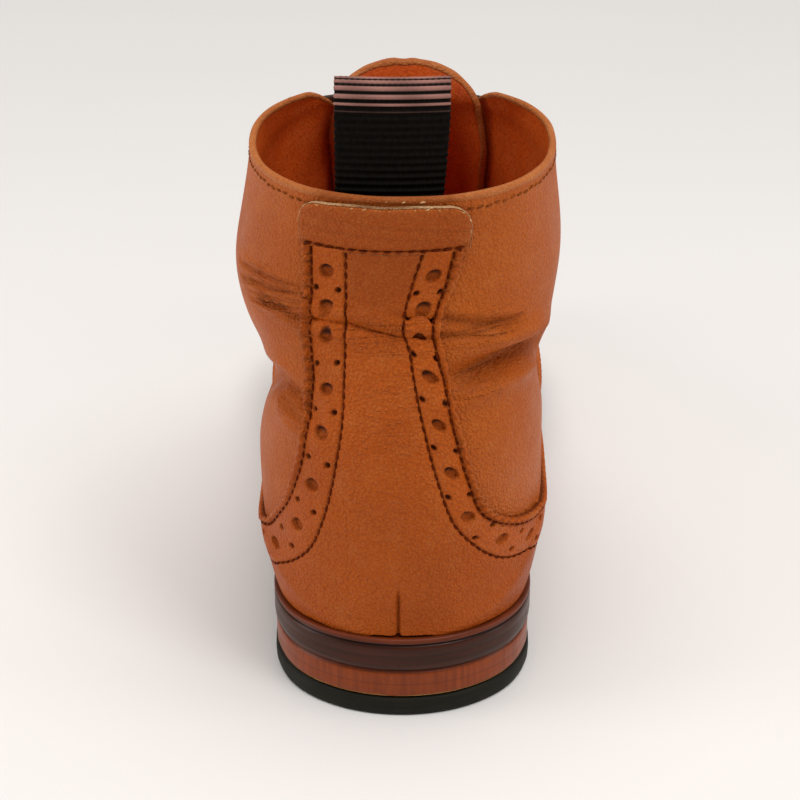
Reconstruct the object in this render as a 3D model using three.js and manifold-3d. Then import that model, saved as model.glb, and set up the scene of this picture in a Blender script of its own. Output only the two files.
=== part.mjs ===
// A left lace-up ankle boot in tan leather: a hollow upper on a welted leather sole with a stacked heel.
// A counter wraps the heel and climbs the back as a strap, and a winged cap covers the toe.
// A webbing pull loop stands inside the back of the collar.
// Millimetres, +Z up, the toe towards +Y and the inner (medial) side towards +X.
// The origin is on the floor under the middle of the heel.
import * as THREE from "three";
import { mergeVertices } from "three/addons/utils/BufferGeometryUtils.js";
import Module from "manifold-3d";

const wasm = await Module();
wasm.setup();
const { Manifold, Mesh: SolidMesh } = wasm;

// Driving sizes of the sole
const soleLength = 300;
const soleWidth = 104; // across the ball
const heelWidth = 74;
const heelLength = 68;
const heelCentre = 36; // from the back of the sole to the origin
const topPieceThickness = 5.5; // the rubber that meets the floor
const stackThickness = 8;
const outsoleThickness = 8.2;
const weltThickness = 1.7;
const weltWidth = 9;
const toeSpring = 9;
const insoleThickness = 2.6;

// Driving sizes of the upper
const upperWall = 2.4; // leather and lining together
const ballWidth = 96;
const ankleWidth = 82;
const shaftRise = 120; // from the heel seat to the back of the collar
const toeMargin = 7; // of welt in front of the upper
const heelMargin = 3.2; // of welt behind the upper
const featherShare = 0.93; // of the sole's half width, where the upper meets the welt
const overlayThickness = 1.3;
const overlayGap = 0.45; // under the overlays, whose facets follow the upper's
const tabWidth = 41.4;
const tabMiddle = -4.1; // off the heel's middle, towards the lateral side
const tabFoot = 1.1; // its lower edge, as a share of shaftRise above the floor
const tabRound = 6;
const tabExtra = 0.5; // thicker than the counter
const stackInset = 0.5;
const breastDish = 3;
const throatStart = 0.37; // share of the section table where the lacing gap opens
const throatGap = 9; // at its lower end
const collarGap = 50; // between the two top corners of the facings

// Driving sizes of the small pieces
const tongueThickness = 2.2;
const tongueWidth = 46;
const tongueRise = 10; // above the front of the collar
const tongueTuck = 12; // under the vamp, below the gap
const tongueLean = 3; // how far the arch leans forward
const tongueFlat = 0.86; // share of its length that lies on the form
const tongueArch = 0.76; // share of its length where it starts to narrow
const loopWidth = 28;
const loopThickness = 1.5;
const loopRise = 28; // above the back of the collar
const loopDepth = 9; // between the outer faces of its two legs
const loopSeat = 21; // how far its ends reach down inside the collar
const loopBow = 1.5; // its edges stand this much further forward than its middle
const loopStand = 13.5; // its rear face, from the back of the sole
const loopOffset = -3; // its middle is off the heel's middle, towards the lateral side
const eyeletPairs = 7;
const eyeletRadius = 3.6;
const eyeletHole = 1.9;
const eyeletThickness = 0.9;
const eyeletLift = 0.65; // of its flat underside above the curved leather
const eyeletInset = 9; // from the edge of the facing
const eyeletStart = 9; // from the foot of the gap to the lowest pair
const eyeletEnd = 7; // from the top pair to the collar
const laceWidth = 3.2;
const laceThickness = 1.4;
const gap = 0.3; // between pieces that touch

const heelHeight = topPieceThickness + stackThickness + outsoleThickness + weltThickness + 3 * gap;
const forefootThickness = outsoleThickness + weltThickness + gap;

// Half widths of the sole, as shares of heelWidth behind the waist and of soleWidth in front of it
const soleTable = [
  // along: share of soleLength; of: which width; medial, lateral: share of it
  { along: 0.0, of: heelWidth, medial: 0.0, lateral: 0.0 },
  { along: 0.012, of: heelWidth, medial: 0.226, lateral: 0.226 },
  { along: 0.045, of: heelWidth, medial: 0.4, lateral: 0.4 },
  { along: 0.09, of: heelWidth, medial: 0.486, lateral: 0.484 },
  { along: 0.14, of: heelWidth, medial: 0.5, lateral: 0.5 },
  { along: 0.21, of: heelWidth, medial: 0.478, lateral: 0.495 },
  { along: 0.3, of: soleWidth, medial: 0.307, lateral: 0.347 },
  { along: 0.4, of: soleWidth, medial: 0.305, lateral: 0.352 },
  { along: 0.5, of: soleWidth, medial: 0.372, lateral: 0.394 },
  { along: 0.6, of: soleWidth, medial: 0.465, lateral: 0.449 },
  { along: 0.69, of: soleWidth, medial: 0.513, lateral: 0.468 },
  { along: 0.77, of: soleWidth, medial: 0.512, lateral: 0.436 },
  { along: 0.85, of: soleWidth, medial: 0.462, lateral: 0.351 },
  { along: 0.92, of: soleWidth, medial: 0.365, lateral: 0.231 },
  { along: 0.965, of: soleWidth, medial: 0.269, lateral: 0.126 },
  { along: 0.99, of: soleWidth, medial: 0.172, lateral: 0.032 },
  { along: 1.0, of: soleWidth, medial: 0.077, lateral: -0.077 },
];

// Sections of the upper, fanned from the toe to the collar
const sectionTable = [
  // at: share of the fan; top: share of soleLength from its back; rise: share of shaftRise above the sole
  // medial, lateral: half widths, shares of ballWidth or ankleWidth; waist: height of the widest line
  { at: 0, top: 0.9767, rise: 0.03, of: ballWidth, medial: 0, lateral: 0, waist: 0.4, round: 2.1 },
  { at: 0.03, top: 0.972, rise: 0.1, of: ballWidth, medial: 0, lateral: 0, waist: 0.42, round: 2.2 },
  { at: 0.06, top: 0.956, rise: 0.165, of: ballWidth, medial: 0, lateral: 0, waist: 0.4, round: 2.3 },
  { at: 0.1, top: 0.918, rise: 0.235, of: ballWidth, medial: 0, lateral: 0, waist: 0.38, round: 2.3 },
  { at: 0.14, top: 0.868, rise: 0.28, of: ballWidth, medial: 0.37, lateral: 0.4, waist: 0.36, round: 2.25 },
  { at: 0.19, top: 0.8, rise: 0.328, of: ballWidth, medial: 0.455, lateral: 0.475, waist: 0.34, round: 2.2 },
  { at: 0.24, top: 0.728, rise: 0.395, of: ballWidth, medial: 0.488, lateral: 0.5, waist: 0.32, round: 2.15 },
  { at: 0.29, top: 0.655, rise: 0.48, of: ballWidth, medial: 0.492, lateral: 0.488, waist: 0.3, round: 2.1 },
  { at: 0.34, top: 0.595, rise: 0.59, of: ballWidth, medial: 0.465, lateral: 0.452, waist: 0.26, round: 2.05 },
  { at: 0.39, top: 0.545, rise: 0.7, of: ballWidth, medial: 0.425, lateral: 0.42, waist: 0.24, round: 2 },
  { at: 0.44, top: 0.502, rise: 0.805, of: ankleWidth, medial: 0.48, lateral: 0.482, waist: 0.24, round: 2.05 },
  { at: 0.5, top: 0.462, rise: 0.895, of: ankleWidth, medial: 0.482, lateral: 0.484, waist: 0.28, round: 2.15 },
  { at: 0.56, top: 0.434, rise: 0.952, of: ankleWidth, medial: 0.484, lateral: 0.488, waist: 0.33, round: 2.3 },
  { at: 0.62, top: 0.414, rise: 0.99, of: ankleWidth, medial: 0.484, lateral: 0.496, waist: 0.42, round: 2.3 },
  { at: 0.7, top: 0.395, rise: 1.02, of: ankleWidth, medial: 0.49, lateral: 0.505, waist: 0.48, round: 2.25 },
  { at: 0.8, top: 0.377, rise: 1.048, of: ankleWidth, medial: 0.505, lateral: 0.518, waist: 0.5, round: 2.25 },
  { at: 0.9, top: 0.362, rise: 1.075, of: ankleWidth, medial: 0.512, lateral: 0.52, waist: 0.52, round: 2.25 },
  { at: 1, top: 0.347, rise: 1.099, of: ankleWidth, medial: 0.5, lateral: 0.497, waist: 0.52, round: 2.25 },
];
const heelCorner = 0.6; // share of the fan where its lower ends reach the back of the heel

// The back of the upper, climbing from the heel seat to the collar
const backTable = [
  // climb: share of the way up; y: share of heelLength from the back of the upper, forwards
  { climb: 0.0, y: 0.0 },
  { climb: 0.12, y: -0.014 },
  { climb: 0.26, y: -0.018 },
  { climb: 0.42, y: -0.004 },
  { climb: 0.58, y: 0.04 },
  { climb: 0.72, y: 0.085 },
  { climb: 0.86, y: 0.085 },
  { climb: 1.0, y: 0.055 },
];

// Soft folds and pouches that wear has left at the ankle
const foldTable = [
  // side: 1 medial, -1 lateral; fromY, toY: shares of soleLength from its back
  // fromZ, toZ: shares of shaftRise above the floor; spread, across the fold: share of shaftRise
  // push: share of ankleWidth, outwards, or inwards if negative
  { side: -1, fromY: 0.02, fromZ: 0.792, toY: 0.307, toZ: 0.6, spread: 0.092, push: -0.076 },
  { side: 1, fromY: 0.02, fromZ: 0.825, toY: 0.22, toZ: 0.7, spread: 0.067, push: -0.042 },
  { side: -1, fromY: 0.073, fromZ: 0.975, toY: 0.233, toZ: 0.95, spread: 0.125, push: 0.041 },
  { side: 1, fromY: 0.073, fromZ: 1.017, toY: 0.233, toZ: 1.0, spread: 0.125, push: 0.022 },
];
const foldFade = 6; // across the form, over which a fold dies out towards the middle line

// Upper edge of the counter seen from the back, from the lateral side round to the medial side
const counterEdge = [
  // x: share of ankleWidth from the middle; z: share of shaftRise above the floor
  { x: -0.9, z: 0.365 },
  { x: -0.6, z: 0.366 },
  { x: -0.5, z: 0.37 },
  { x: -0.43, z: 0.397 },
  { x: -0.365, z: 0.515 },
  { x: -0.324, z: 0.617 },
  { x: -0.3, z: 0.704 },
  { x: -0.291, z: 0.775 },
  { x: -0.302, z: 0.908 },
  { x: -0.294, z: 1.0 },
  { x: -0.29, z: 1.085 },
  { x: -0.275, z: 1.098 },
  { x: 0.165, z: 1.098 },
  { x: 0.18, z: 1.085 },
  { x: 0.151, z: 1.012 },
  { x: 0.116, z: 0.933 },
  { x: 0.139, z: 0.842 },
  { x: 0.155, z: 0.775 },
  { x: 0.189, z: 0.675 },
  { x: 0.224, z: 0.575 },
  { x: 0.272, z: 0.492 },
  { x: 0.339, z: 0.433 },
  { x: 0.405, z: 0.408 },
  { x: 0.466, z: 0.425 },
  { x: 0.6, z: 0.44 },
  { x: 0.9, z: 0.44 },
];
const counterSplit = 0.16; // share of soleLength behind which that view counts

// Upper edge of its wings, seen from each side
const counterWing = {
  // y: share of soleLength from its back; z: share of shaftRise above the floor
  lateral: [
    { y: 0.16, z: 0.365 },
    { y: 0.24, z: 0.362 },
    { y: 0.33, z: 0.352 },
    { y: 0.4, z: 0.31 },
    { y: 0.45, z: 0.235 },
    { y: 0.48, z: 0.15 },
    { y: 0.495, z: 0.0 },
  ],
  medial: [
    { y: 0.16, z: 0.44 },
    { y: 0.22, z: 0.472 },
    { y: 0.29, z: 0.482 },
    { y: 0.36, z: 0.445 },
    { y: 0.42, z: 0.36 },
    { y: 0.46, z: 0.25 },
    { y: 0.485, z: 0.15 },
    { y: 0.495, z: 0.0 },
  ],
};

// Rear edge of the winged toe cap, seen from the side, and its peak, seen from above
const wingTable = [
  // y: share of soleLength from its back; z: share of shaftRise above the floor
  { y: 0.5, z: 0.0 },
  { y: 0.53, z: 0.15 },
  { y: 0.585, z: 0.245 },
  { y: 0.66, z: 0.32 },
  { y: 0.74, z: 0.385 },
  { y: 0.8, z: 0.44 },
  { y: 0.815, z: 0.7 },
];
const wingPeak = [
  // x: share of ballWidth from the middle; y: share of soleLength
  { x: 0.0, y: 0.735 },
  { x: 0.05, y: 0.76 },
  { x: 0.125, y: 0.787 },
  { x: 0.24, y: 0.8 },
];

const tan = new THREE.MeshStandardMaterial({ color: 0xa85a2a, roughness: 0.5 });
const tanDeep = new THREE.MeshStandardMaterial({ color: 0x9c4f24, roughness: 0.48 });
const lining = new THREE.MeshStandardMaterial({ color: 0x8a3c1c, roughness: 0.6 });
const soleEdge = new THREE.MeshStandardMaterial({ color: 0x3b2018, roughness: 0.35 });
const weltTan = new THREE.MeshStandardMaterial({ color: 0x8f4420, roughness: 0.5 });
const stackBrown = new THREE.MeshStandardMaterial({ color: 0x7d3f22, roughness: 0.42 });
const rubber = new THREE.MeshStandardMaterial({ color: 0x1d1d1a, roughness: 0.75 });
const webbing = new THREE.MeshStandardMaterial({ color: 0x2a1814, roughness: 0.85 });
const cord = new THREE.MeshStandardMaterial({ color: 0x2b1c16, roughness: 0.8 });
const bronze = new THREE.MeshStandardMaterial({ color: 0x5a4630, roughness: 0.4, metalness: 0.9 });

// Smooth curve through the rows of a table
function along(rows, key, column, value) {
  const last = rows.length - 1;
  let i = 0;
  while (i < last - 1 && value > rows[i + 1][key]) i++;
  const at = (k) => rows[Math.min(last, Math.max(0, k))];
  const slope = (k) => {
    const before = at(k - 1);
    const after = at(k + 1);
    return (after[column] - before[column]) / (after[key] - before[key]);
  };
  const a = rows[i];
  const b = rows[i + 1];
  const span = b[key] - a[key];
  const t = Math.min(1, Math.max(0, (value - a[key]) / span));
  const t2 = t * t;
  const t3 = t2 * t;
  return (
    (2 * t3 - 3 * t2 + 1) * a[column] +
    (t3 - 2 * t2 + t) * span * slope(i) +
    (3 * t2 - 2 * t3) * b[column] +
    (t3 - t2) * span * slope(i + 1)
  );
}

// Distance along a foot-shaped outline as an angle, so that both round ends are sampled evenly
const turnOf = (share) => Math.acos(1 - 2 * Math.min(1, Math.max(0, share)));
const shareOf = (turn) => (1 - Math.cos(turn)) / 2;

const soleRows = soleTable.map((row) => ({
  turn: turnOf(row.along),
  medial: row.medial * row.of,
  lateral: row.lateral * row.of,
}));

const sectionRows = sectionTable.map((row) => ({
  ...row,
  medial: row.medial * row.of,
  lateral: row.lateral * row.of,
}));

// Edge of the sole at a distance from its back, on the side given by sign
function soleEdgeAt(y, side) {
  return side * along(soleRows, "turn", side > 0 ? "medial" : "lateral", turnOf(y / soleLength));
}

const smooth = (low, high, value) => {
  const t = Math.min(1, Math.max(0, (value - low) / (high - low)));
  return t * t * (3 - 2 * t);
};

// Top of the welt: level over the heel, down the waist to the ball, up again at the toe
const waistStart = 0.18 * soleLength;
const treadStart = 0.58 * soleLength;
const springStart = 0.75 * soleLength;
function weltTop(y) {
  const drop = (heelHeight - forefootThickness) * smooth(waistStart, treadStart, y);
  const reach = Math.max(0, (y - springStart) / (soleLength - springStart));
  return heelHeight - drop + toeSpring * reach ** 1.9;
}

// Centre line of the upper, which bends towards the medial side in the forefoot
const toeOffset = 0.077 * soleWidth;
const bendStart = 0.35 * soleLength;
const middle = (y) => toeOffset * Math.max(0, (y - bendStart) / (soleLength - bendStart)) ** 1.6;

// Lower end of a section: on the feather edge, or on the back line above it
const upperBack = heelMargin;
const upperFront = soleLength - toeMargin;
function lowerEnd(at) {
  if (at < heelCorner) {
    const turn = Math.PI * (1 - at / heelCorner);
    const y = upperBack + (upperFront - upperBack) * shareOf(turn);
    const edge = (side) => side * soleEdgeAt(soleLength * shareOf(turn), side);
    return { y, z: weltTop(y) + gap, medial: featherShare * edge(1), lateral: featherShare * edge(-1) };
  }
  const climb = (at - heelCorner) / (1 - heelCorner);
  const y = upperBack + heelLength * along(backTable, "climb", "y", climb);
  return { y, z: heelHeight + gap + shaftRise * climb, medial: 0, lateral: 0 };
}

// How far wear has pushed the leather out at a point
function foldPush(side, y, z) {
  let push = 0;
  for (const fold of foldTable) {
    if (fold.side !== side) continue;
    const from = [fold.fromY * soleLength, fold.fromZ * shaftRise];
    const run = [fold.toY * soleLength - from[0], fold.toZ * shaftRise - from[1]];
    const length = Math.hypot(...run);
    const spread = fold.spread * shaftRise;
    const rel = [y - from[0], z - from[1]];
    const t = (rel[0] * run[0] + rel[1] * run[1]) / length ** 2;
    const off = (rel[1] * run[0] - rel[0] * run[1]) / length / spread;
    const past = (Math.max(0, -t, t - 1) * length) / spread;
    push += fold.push * ankleWidth * Math.exp(-off * off - past * past);
  }
  return push;
}

// One section of the upper: both ends, the centre line and the half widths of one side
function sectionSide(side, at) {
  const low = lowerEnd(at);
  const topY = soleLength * along(sectionRows, "at", "top", at);
  const topZ = weltTop(topY) + gap + shaftRise * along(sectionRows, "at", "rise", at);
  const name = side > 0 ? "medial" : "lateral";
  const centre = at < heelCorner ? middle((low.y + topY) / 2) : 0;
  const foot = at > 0 ? Math.max(0, low[name] - side * centre) : 0;
  const half = at > 0 ? Math.max(along(sectionRows, "at", name, at), 1.03 * foot) : 0;
  const waist = along(sectionRows, "at", "waist", at);
  const power = 2 / along(sectionRows, "at", "round", at);
  const tuck = half > 0 ? Math.acos((foot / half) ** (1 / power)) : Math.PI / 2;
  return { side, low, topY, topZ, centre, half, waist, power, tuck };
}

// A point of a section: the angle is 0 on the widest line, a right angle on the ridge
function sectionPoint(section, angle) {
  const { side, low, topY, topZ, centre, half, waist, power, tuck } = section;
  const across = half * Math.max(0, Math.cos(angle)) ** power;
  const lift =
    angle < 0
      ? waist * (1 - (Math.sin(-angle) / Math.sin(tuck)) ** power)
      : waist + (1 - waist) * Math.sin(angle) ** power;
  const y = low.y + (topY - low.y) * lift;
  const z = low.z + (topZ - low.z) * lift;
  const show = across / (across + foldFade);
  return new THREE.Vector3(centre + side * (across + show * foldPush(side, y, z)), y, z);
}

// The angle of a section at a distance across its ridge
const angleAcross = (section, x) => Math.acos(Math.min(1, x / section.half) ** (1 / section.power));

// Half of the lacing gap at a section
function throatHalf(at) {
  if (at <= throatStart) return 0;
  const t = (at - throatStart) / (1 - throatStart);
  return ((throatGap + (collarGap - throatGap) * t ** 0.9) / 2) * Math.min(1, t / 0.03);
}

// A point of the form: at runs from toe to collar; up runs from the lower end to the edge of the gap at 1
// and on across the gap to the ridge at 2
function facePoint(side, at, up) {
  const section = sectionSide(side, at);
  const slit = section.half > 0 ? angleAcross(section, throatHalf(at)) : Math.PI / 2;
  const angle = up < 1 ? (slit + section.tuck) * up - section.tuck : slit + (Math.PI / 2 - slit) * (up - 1);
  return sectionPoint(section, angle);
}

// A point of the form by its distance across the ridge, moved out by a distance
function ridgePoint(at, x, distance) {
  const spot = (a, b) => {
    const section = sectionSide(b < 0 ? -1 : 1, Math.min(1, a));
    return sectionPoint(section, angleAcross(section, Math.abs(b)));
  };
  const step = 0.008;
  const a = Math.min(1 - step, at);
  const slope = spot(a, x + 0.4).sub(spot(a, x - 0.4));
  const climb = spot(a + step, x).sub(spot(a - step, x));
  return spot(at, x).addScaledVector(climb.cross(slope).normalize(), distance);
}

// Direction the form faces at a point
const nudge = 0.004;
function faceNormal(side, at, up) {
  const a = Math.min(1 - nudge, Math.max(nudge, at));
  const u = Math.min(2 - nudge, Math.max(nudge, up));
  const acrossAt = facePoint(side, a + nudge, u).sub(facePoint(side, a - nudge, u));
  const acrossUp = facePoint(side, a, u + nudge).sub(facePoint(side, a, u - nudge));
  return acrossUp.cross(acrossAt).multiplyScalar(side).normalize();
}

// The same point moved out along that direction, or in if the distance is negative
function offsetPoint(side, at, up, distance) {
  const onRidge = up === 2 || (up >= 1 && at <= throatStart);
  const onMiddle = onRidge || (up === 0 && at >= heelCorner) || at === 0;
  const here = facePoint(onMiddle ? 1 : side, at, onRidge ? 2 : up);
  const normal = faceNormal(side, at, onRidge && at <= throatStart ? 1 : up);
  if (onMiddle) normal.add(faceNormal(-side, at, onRidge && at <= throatStart ? 1 : up)).setX(0).normalize();
  here.addScaledVector(normal, distance);
  here.z = Math.max(here.z, weltTop(here.y) + gap);
  return here;
}

// Stations along the fan and round each section, closer together where the form turns fast
const fanStations = [
  0, 0.015, 0.035, 0.06, 0.09, 0.125, 0.165, 0.21, 0.25, 0.28, 0.31, 0.34, throatStart, 0.382, 0.4, 0.425, 0.45,
  0.48, 0.515, 0.55, 0.575, heelCorner, 0.625, 0.655, 0.685, 0.715, 0.745, 0.775, 0.81, 0.845, 0.88, 0.92, 0.96, 1,
];
const roundSteps = 12;
const bridgeSteps = 3;
const throatIndex = fanStations.indexOf(throatStart);
const cornerIndex = fanStations.indexOf(heelCorner);

// Collects triangles of one closed body, with its points on a fine grid so that near ones become one
const grain = 0.005;
class Skin {
  constructor() {
    this.corners = [];
  }
  tri(...points) {
    const [a, b, c] = points.map((p) => p.clone().divideScalar(grain).round().multiplyScalar(grain));
    if (a.equals(b) || b.equals(c) || c.equals(a)) return;
    this.corners.push(a, b, c);
  }
  quad(a, b, c, d) {
    this.tri(a, b, c);
    this.tri(a, c, d);
  }
  geometry() {
    return mergeVertices(new THREE.BufferGeometry().setFromPoints(this.corners), grain / 5);
  }
}

// Points of one section at a distance from the form, from the lateral foot over to the medial foot
function faceRow(at, distance, bridged) {
  const steps = [];
  for (let k = 0; k <= roundSteps; k++) steps.push(k / roundSteps);
  for (let k = 1; bridged && k <= bridgeSteps; k++) steps.push(1 + k / bridgeSteps);
  const lateral = steps.map((up) => offsetPoint(-1, at, up, distance));
  const medial = steps.map((up) => offsetPoint(1, at, up, distance));
  return [...lateral, ...medial.reverse()];
}

// Covers rows of points, with the diagonals of one side mirrored on the other
// At the toe both sides share the first row, so there the diagonals differ
function cover(skin, rows, half, inward) {
  for (let i = 0; i < rows.length - 1; i++) {
    for (let k = 0; k < rows[0].length - 1; k++) {
      if (k === half) continue;
      const ring = [rows[i][k], rows[i + 1][k], rows[i + 1][k + 1], rows[i][k + 1]];
      const [a, b, c, d] = k < half || i === 0 ? ring : [...ring.slice(1), ring[0]];
      if (inward) skin.quad(a, d, c, b);
      else skin.quad(a, b, c, d);
    }
  }
}

// The upper as a shell, open underneath, at the throat and at the collar
function upperGeometry() {
  const outer = fanStations.map((at) => faceRow(at, 0, false));
  const inner = fanStations.map((at) => faceRow(at, -upperWall, false));
  const skin = new Skin();
  const last = outer[0].length - 1;
  const half = roundSteps;
  cover(skin, outer, half, false);
  cover(skin, inner, half, true);
  for (let i = 0; i < fanStations.length - 1; i++) {
    if (i < cornerIndex) {
      skin.quad(outer[i][0], inner[i][0], inner[i + 1][0], outer[i + 1][0]);
      skin.quad(outer[i][last], outer[i + 1][last], inner[i + 1][last], inner[i][last]);
    }
    if (i >= throatIndex) {
      skin.quad(outer[i][half], outer[i + 1][half], inner[i + 1][half], inner[i][half]);
      skin.quad(outer[i][half + 1], inner[i][half + 1], inner[i + 1][half + 1], outer[i + 1][half + 1]);
    }
  }
  const top = fanStations.length - 1;
  for (let k = 0; k < last; k++) {
    if (k === half) continue;
    skin.quad(outer[top][k], inner[top][k], inner[top][k + 1], outer[top][k + 1]);
  }
  return skin.geometry();
}

// A closed geometry as a solid that can be cut and joined
function solid(geometry) {
  const bare = new THREE.BufferGeometry().setAttribute("position", geometry.getAttribute("position"));
  if (geometry.index) bare.setIndex(geometry.index);
  const merged = mergeVertices(bare, 1e-3);
  const vertProperties = new Float32Array(merged.attributes.position.array);
  return new Manifold(new SolidMesh({ numProp: 3, vertProperties, triVerts: new Uint32Array(merged.index.array) }));
}

// A solid back as a geometry, keeping only its largest body
function shape(made) {
  const bodies = made.decompose().sort((a, b) => b.volume() - a.volume());
  const mesh = bodies[0].getMesh();
  const geometry = new THREE.BufferGeometry();
  geometry.setAttribute("position", new THREE.BufferAttribute(new Float32Array(mesh.vertProperties), 3));
  return geometry.setIndex(new THREE.BufferAttribute(new Uint32Array(mesh.triVerts), 1));
}

// The whole form of the upper, closed at the top and underneath, at a distance from its face
function formSolid(distance, overrun) {
  const rows = fanStations.map((at) => faceRow(at, distance, true));
  const skin = new Skin();
  const last = rows[0].length - 1;
  const half = roundSteps + bridgeSteps;
  const down = (p) => p.clone().setZ(p.z - overrun);
  const lifted = rows[rows.length - 1].map((p) => p.clone().setZ(p.z + overrun));
  const stack = overrun > 0 ? [...rows, lifted] : rows;
  cover(skin, stack, half, false);
  for (let i = 0; i < cornerIndex; i++) {
    const [a, b, c, d] = [rows[i][0], rows[i][last], rows[i + 1][last], rows[i + 1][0]];
    if (overrun > 0) {
      skin.quad(a, down(a), down(d), d);
      skin.quad(b, c, down(c), down(b));
    }
    skin.quad(...(overrun > 0 ? [down(a), down(b), down(c), down(d)] : [a, b, c, d]));
  }
  if (overrun > 0) {
    const tip = rows[0];
    skin.quad(tip[0], tip[last], down(tip[last]), down(tip[0]));
  }
  const top = stack[stack.length - 1];
  for (let k = 0; k < half; k++) skin.quad(top[k], top[last - k], top[last - k - 1], top[k + 1]);
  return solid(skin.geometry());
}

// A prism of a flat outline: pairs of across and height, pushed from one depth to another
// The outline lies in the plane seen from the back ("back"), from the side ("side") or from above ("top")
function prism(view, pairs, from, to) {
  const outline = new THREE.Shape(pairs.map(([a, b]) => new THREE.Vector2(a, b)));
  const made = new THREE.ExtrudeGeometry(outline, { depth: to - from, bevelEnabled: false, steps: 1 });
  made.translate(0, 0, from);
  const turn = new THREE.Matrix4();
  if (view === "back") turn.set(1, 0, 0, 0, 0, 0, 1, 0, 0, 1, 0, 0, 0, 0, 0, 1);
  if (view === "side") turn.set(0, 0, 1, 0, 1, 0, 0, 0, 0, 1, 0, 0, 0, 0, 0, 1);
  made.applyMatrix4(turn);
  return view === "back" ? solid(flipped(made)) : solid(made);
}

// The same triangles facing the other way, for a plane whose axes were swapped
function flipped(geometry) {
  const place = geometry.getAttribute("position").clone();
  for (let i = 0; i < place.count; i += 3) {
    const corner = new THREE.Vector3().fromBufferAttribute(place, i + 1);
    place.setXYZ(i + 1, place.getX(i + 2), place.getY(i + 2), place.getZ(i + 2));
    place.setXYZ(i + 2, corner.x, corner.y, corner.z);
  }
  return new THREE.BufferGeometry().setAttribute("position", place);
}

// Smooth outline through the rows of a table, scaled by two sizes
function curvePairs(rows, keys, scale, steps) {
  const points = rows.map((row) => new THREE.Vector2(row[keys[0]] * scale[0], row[keys[1]] * scale[1]));
  return new THREE.SplineCurve(points).getPoints(steps).map((p) => [p.x, p.y]);
}

const overlayReach = overlayGap + overlayThickness;
const innerForm = formSolid(overlayGap, 6);
const overlayLeather = formSolid(overlayReach, 0).subtract(innerForm);

// The counter: strap and heel seen from the back, then a wing along each side
function counterGeometry() {
  const reach = 2 * ballWidth;
  const deep = -heelWidth;
  const split = counterSplit * soleLength;
  const edge = curvePairs(counterEdge, ["x", "z"], [ankleWidth, shaftRise], 60);
  const back = prism("back", [[-reach, 0], ...edge, [reach, 0]], deep, split);
  const wing = (rows) => curvePairs(rows, ["y", "z"], [soleLength, shaftRise], 24);
  const lateral = prism("side", [[split, 0], ...wing(counterWing.lateral)], -reach, 0);
  const medial = prism("side", [[split, 0], ...wing(counterWing.medial)], 0, reach);
  return shape(overlayLeather.intersect(back.add(lateral).add(medial)));
}

// The winged toe cap
function toeCapGeometry() {
  const reach = 2 * ballWidth;
  const tall = 2 * shaftRise;
  const far = 1.2 * soleLength;
  const side = curvePairs(wingTable, ["y", "z"], [soleLength, shaftRise], 24);
  const wings = prism("side", [[far, 0], [far, tall], [side[side.length - 1][0], tall], ...side.reverse()], -reach, reach);
  const half = curvePairs(wingPeak, ["x", "y"], [ballWidth, soleLength], 10);
  const shift = middle(wingPeak[0].y * soleLength);
  const left = [...half].reverse().map(([x, y]) => [shift - x, y]);
  const right = half.slice(1).map(([x, y]) => [shift + x, y]);
  const ends = [[right[right.length - 1][0], far], [left[0][0], far]];
  const peak = prism("top", [...left, ...right, ...ends], 0.3 * shaftRise, shaftRise);
  return shape(overlayLeather.intersect(wings.add(peak)));
}

// The tab that closes the strap at the back of the collar
function backTabGeometry() {
  const low = tabFoot * shaftRise;
  const high = 2 * shaftRise;
  const edge = heelHeight + gap + shaftRise;
  const round = tabRound;
  const [l, r] = [tabMiddle - tabWidth / 2, tabMiddle + tabWidth / 2];
  const arc = (cx, from) => {
    const turn = (k) => THREE.MathUtils.degToRad(from - 22.5 * k);
    return [0, 1, 2, 3, 4].map((k) => [cx + round * Math.cos(turn(k)), edge - round + round * Math.sin(turn(k))]);
  };
  const outline = [[l, low], ...arc(l + round, 180), ...arc(r - round, 90), [r, low]];
  const leather = formSolid(overlayReach + tabExtra, 0).subtract(innerForm);
  return shape(leather.intersect(prism("back", outline, -heelWidth, heelCentre)));
}

// A closed sheet between two grids of points
function sheetGeometry(front, back) {
  const skin = new Skin();
  const [rows, columns] = [front.length, front[0].length];
  for (let i = 0; i < rows - 1; i++) {
    for (let j = 0; j < columns - 1; j++) {
      skin.quad(front[i][j], front[i][j + 1], front[i + 1][j + 1], front[i + 1][j]);
      skin.quad(back[i][j], back[i + 1][j], back[i + 1][j + 1], back[i][j + 1]);
    }
    skin.quad(front[i][0], front[i + 1][0], back[i + 1][0], back[i][0]);
    const c = columns - 1;
    skin.quad(front[i][c], back[i][c], back[i + 1][c], front[i + 1][c]);
  }
  for (let j = 0; j < columns - 1; j++) {
    const r = rows - 1;
    skin.quad(front[0][j], back[0][j], back[0][j + 1], front[0][j + 1]);
    skin.quad(front[r][j], front[r][j + 1], back[r][j + 1], back[r][j]);
  }
  return skin.geometry();
}

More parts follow.
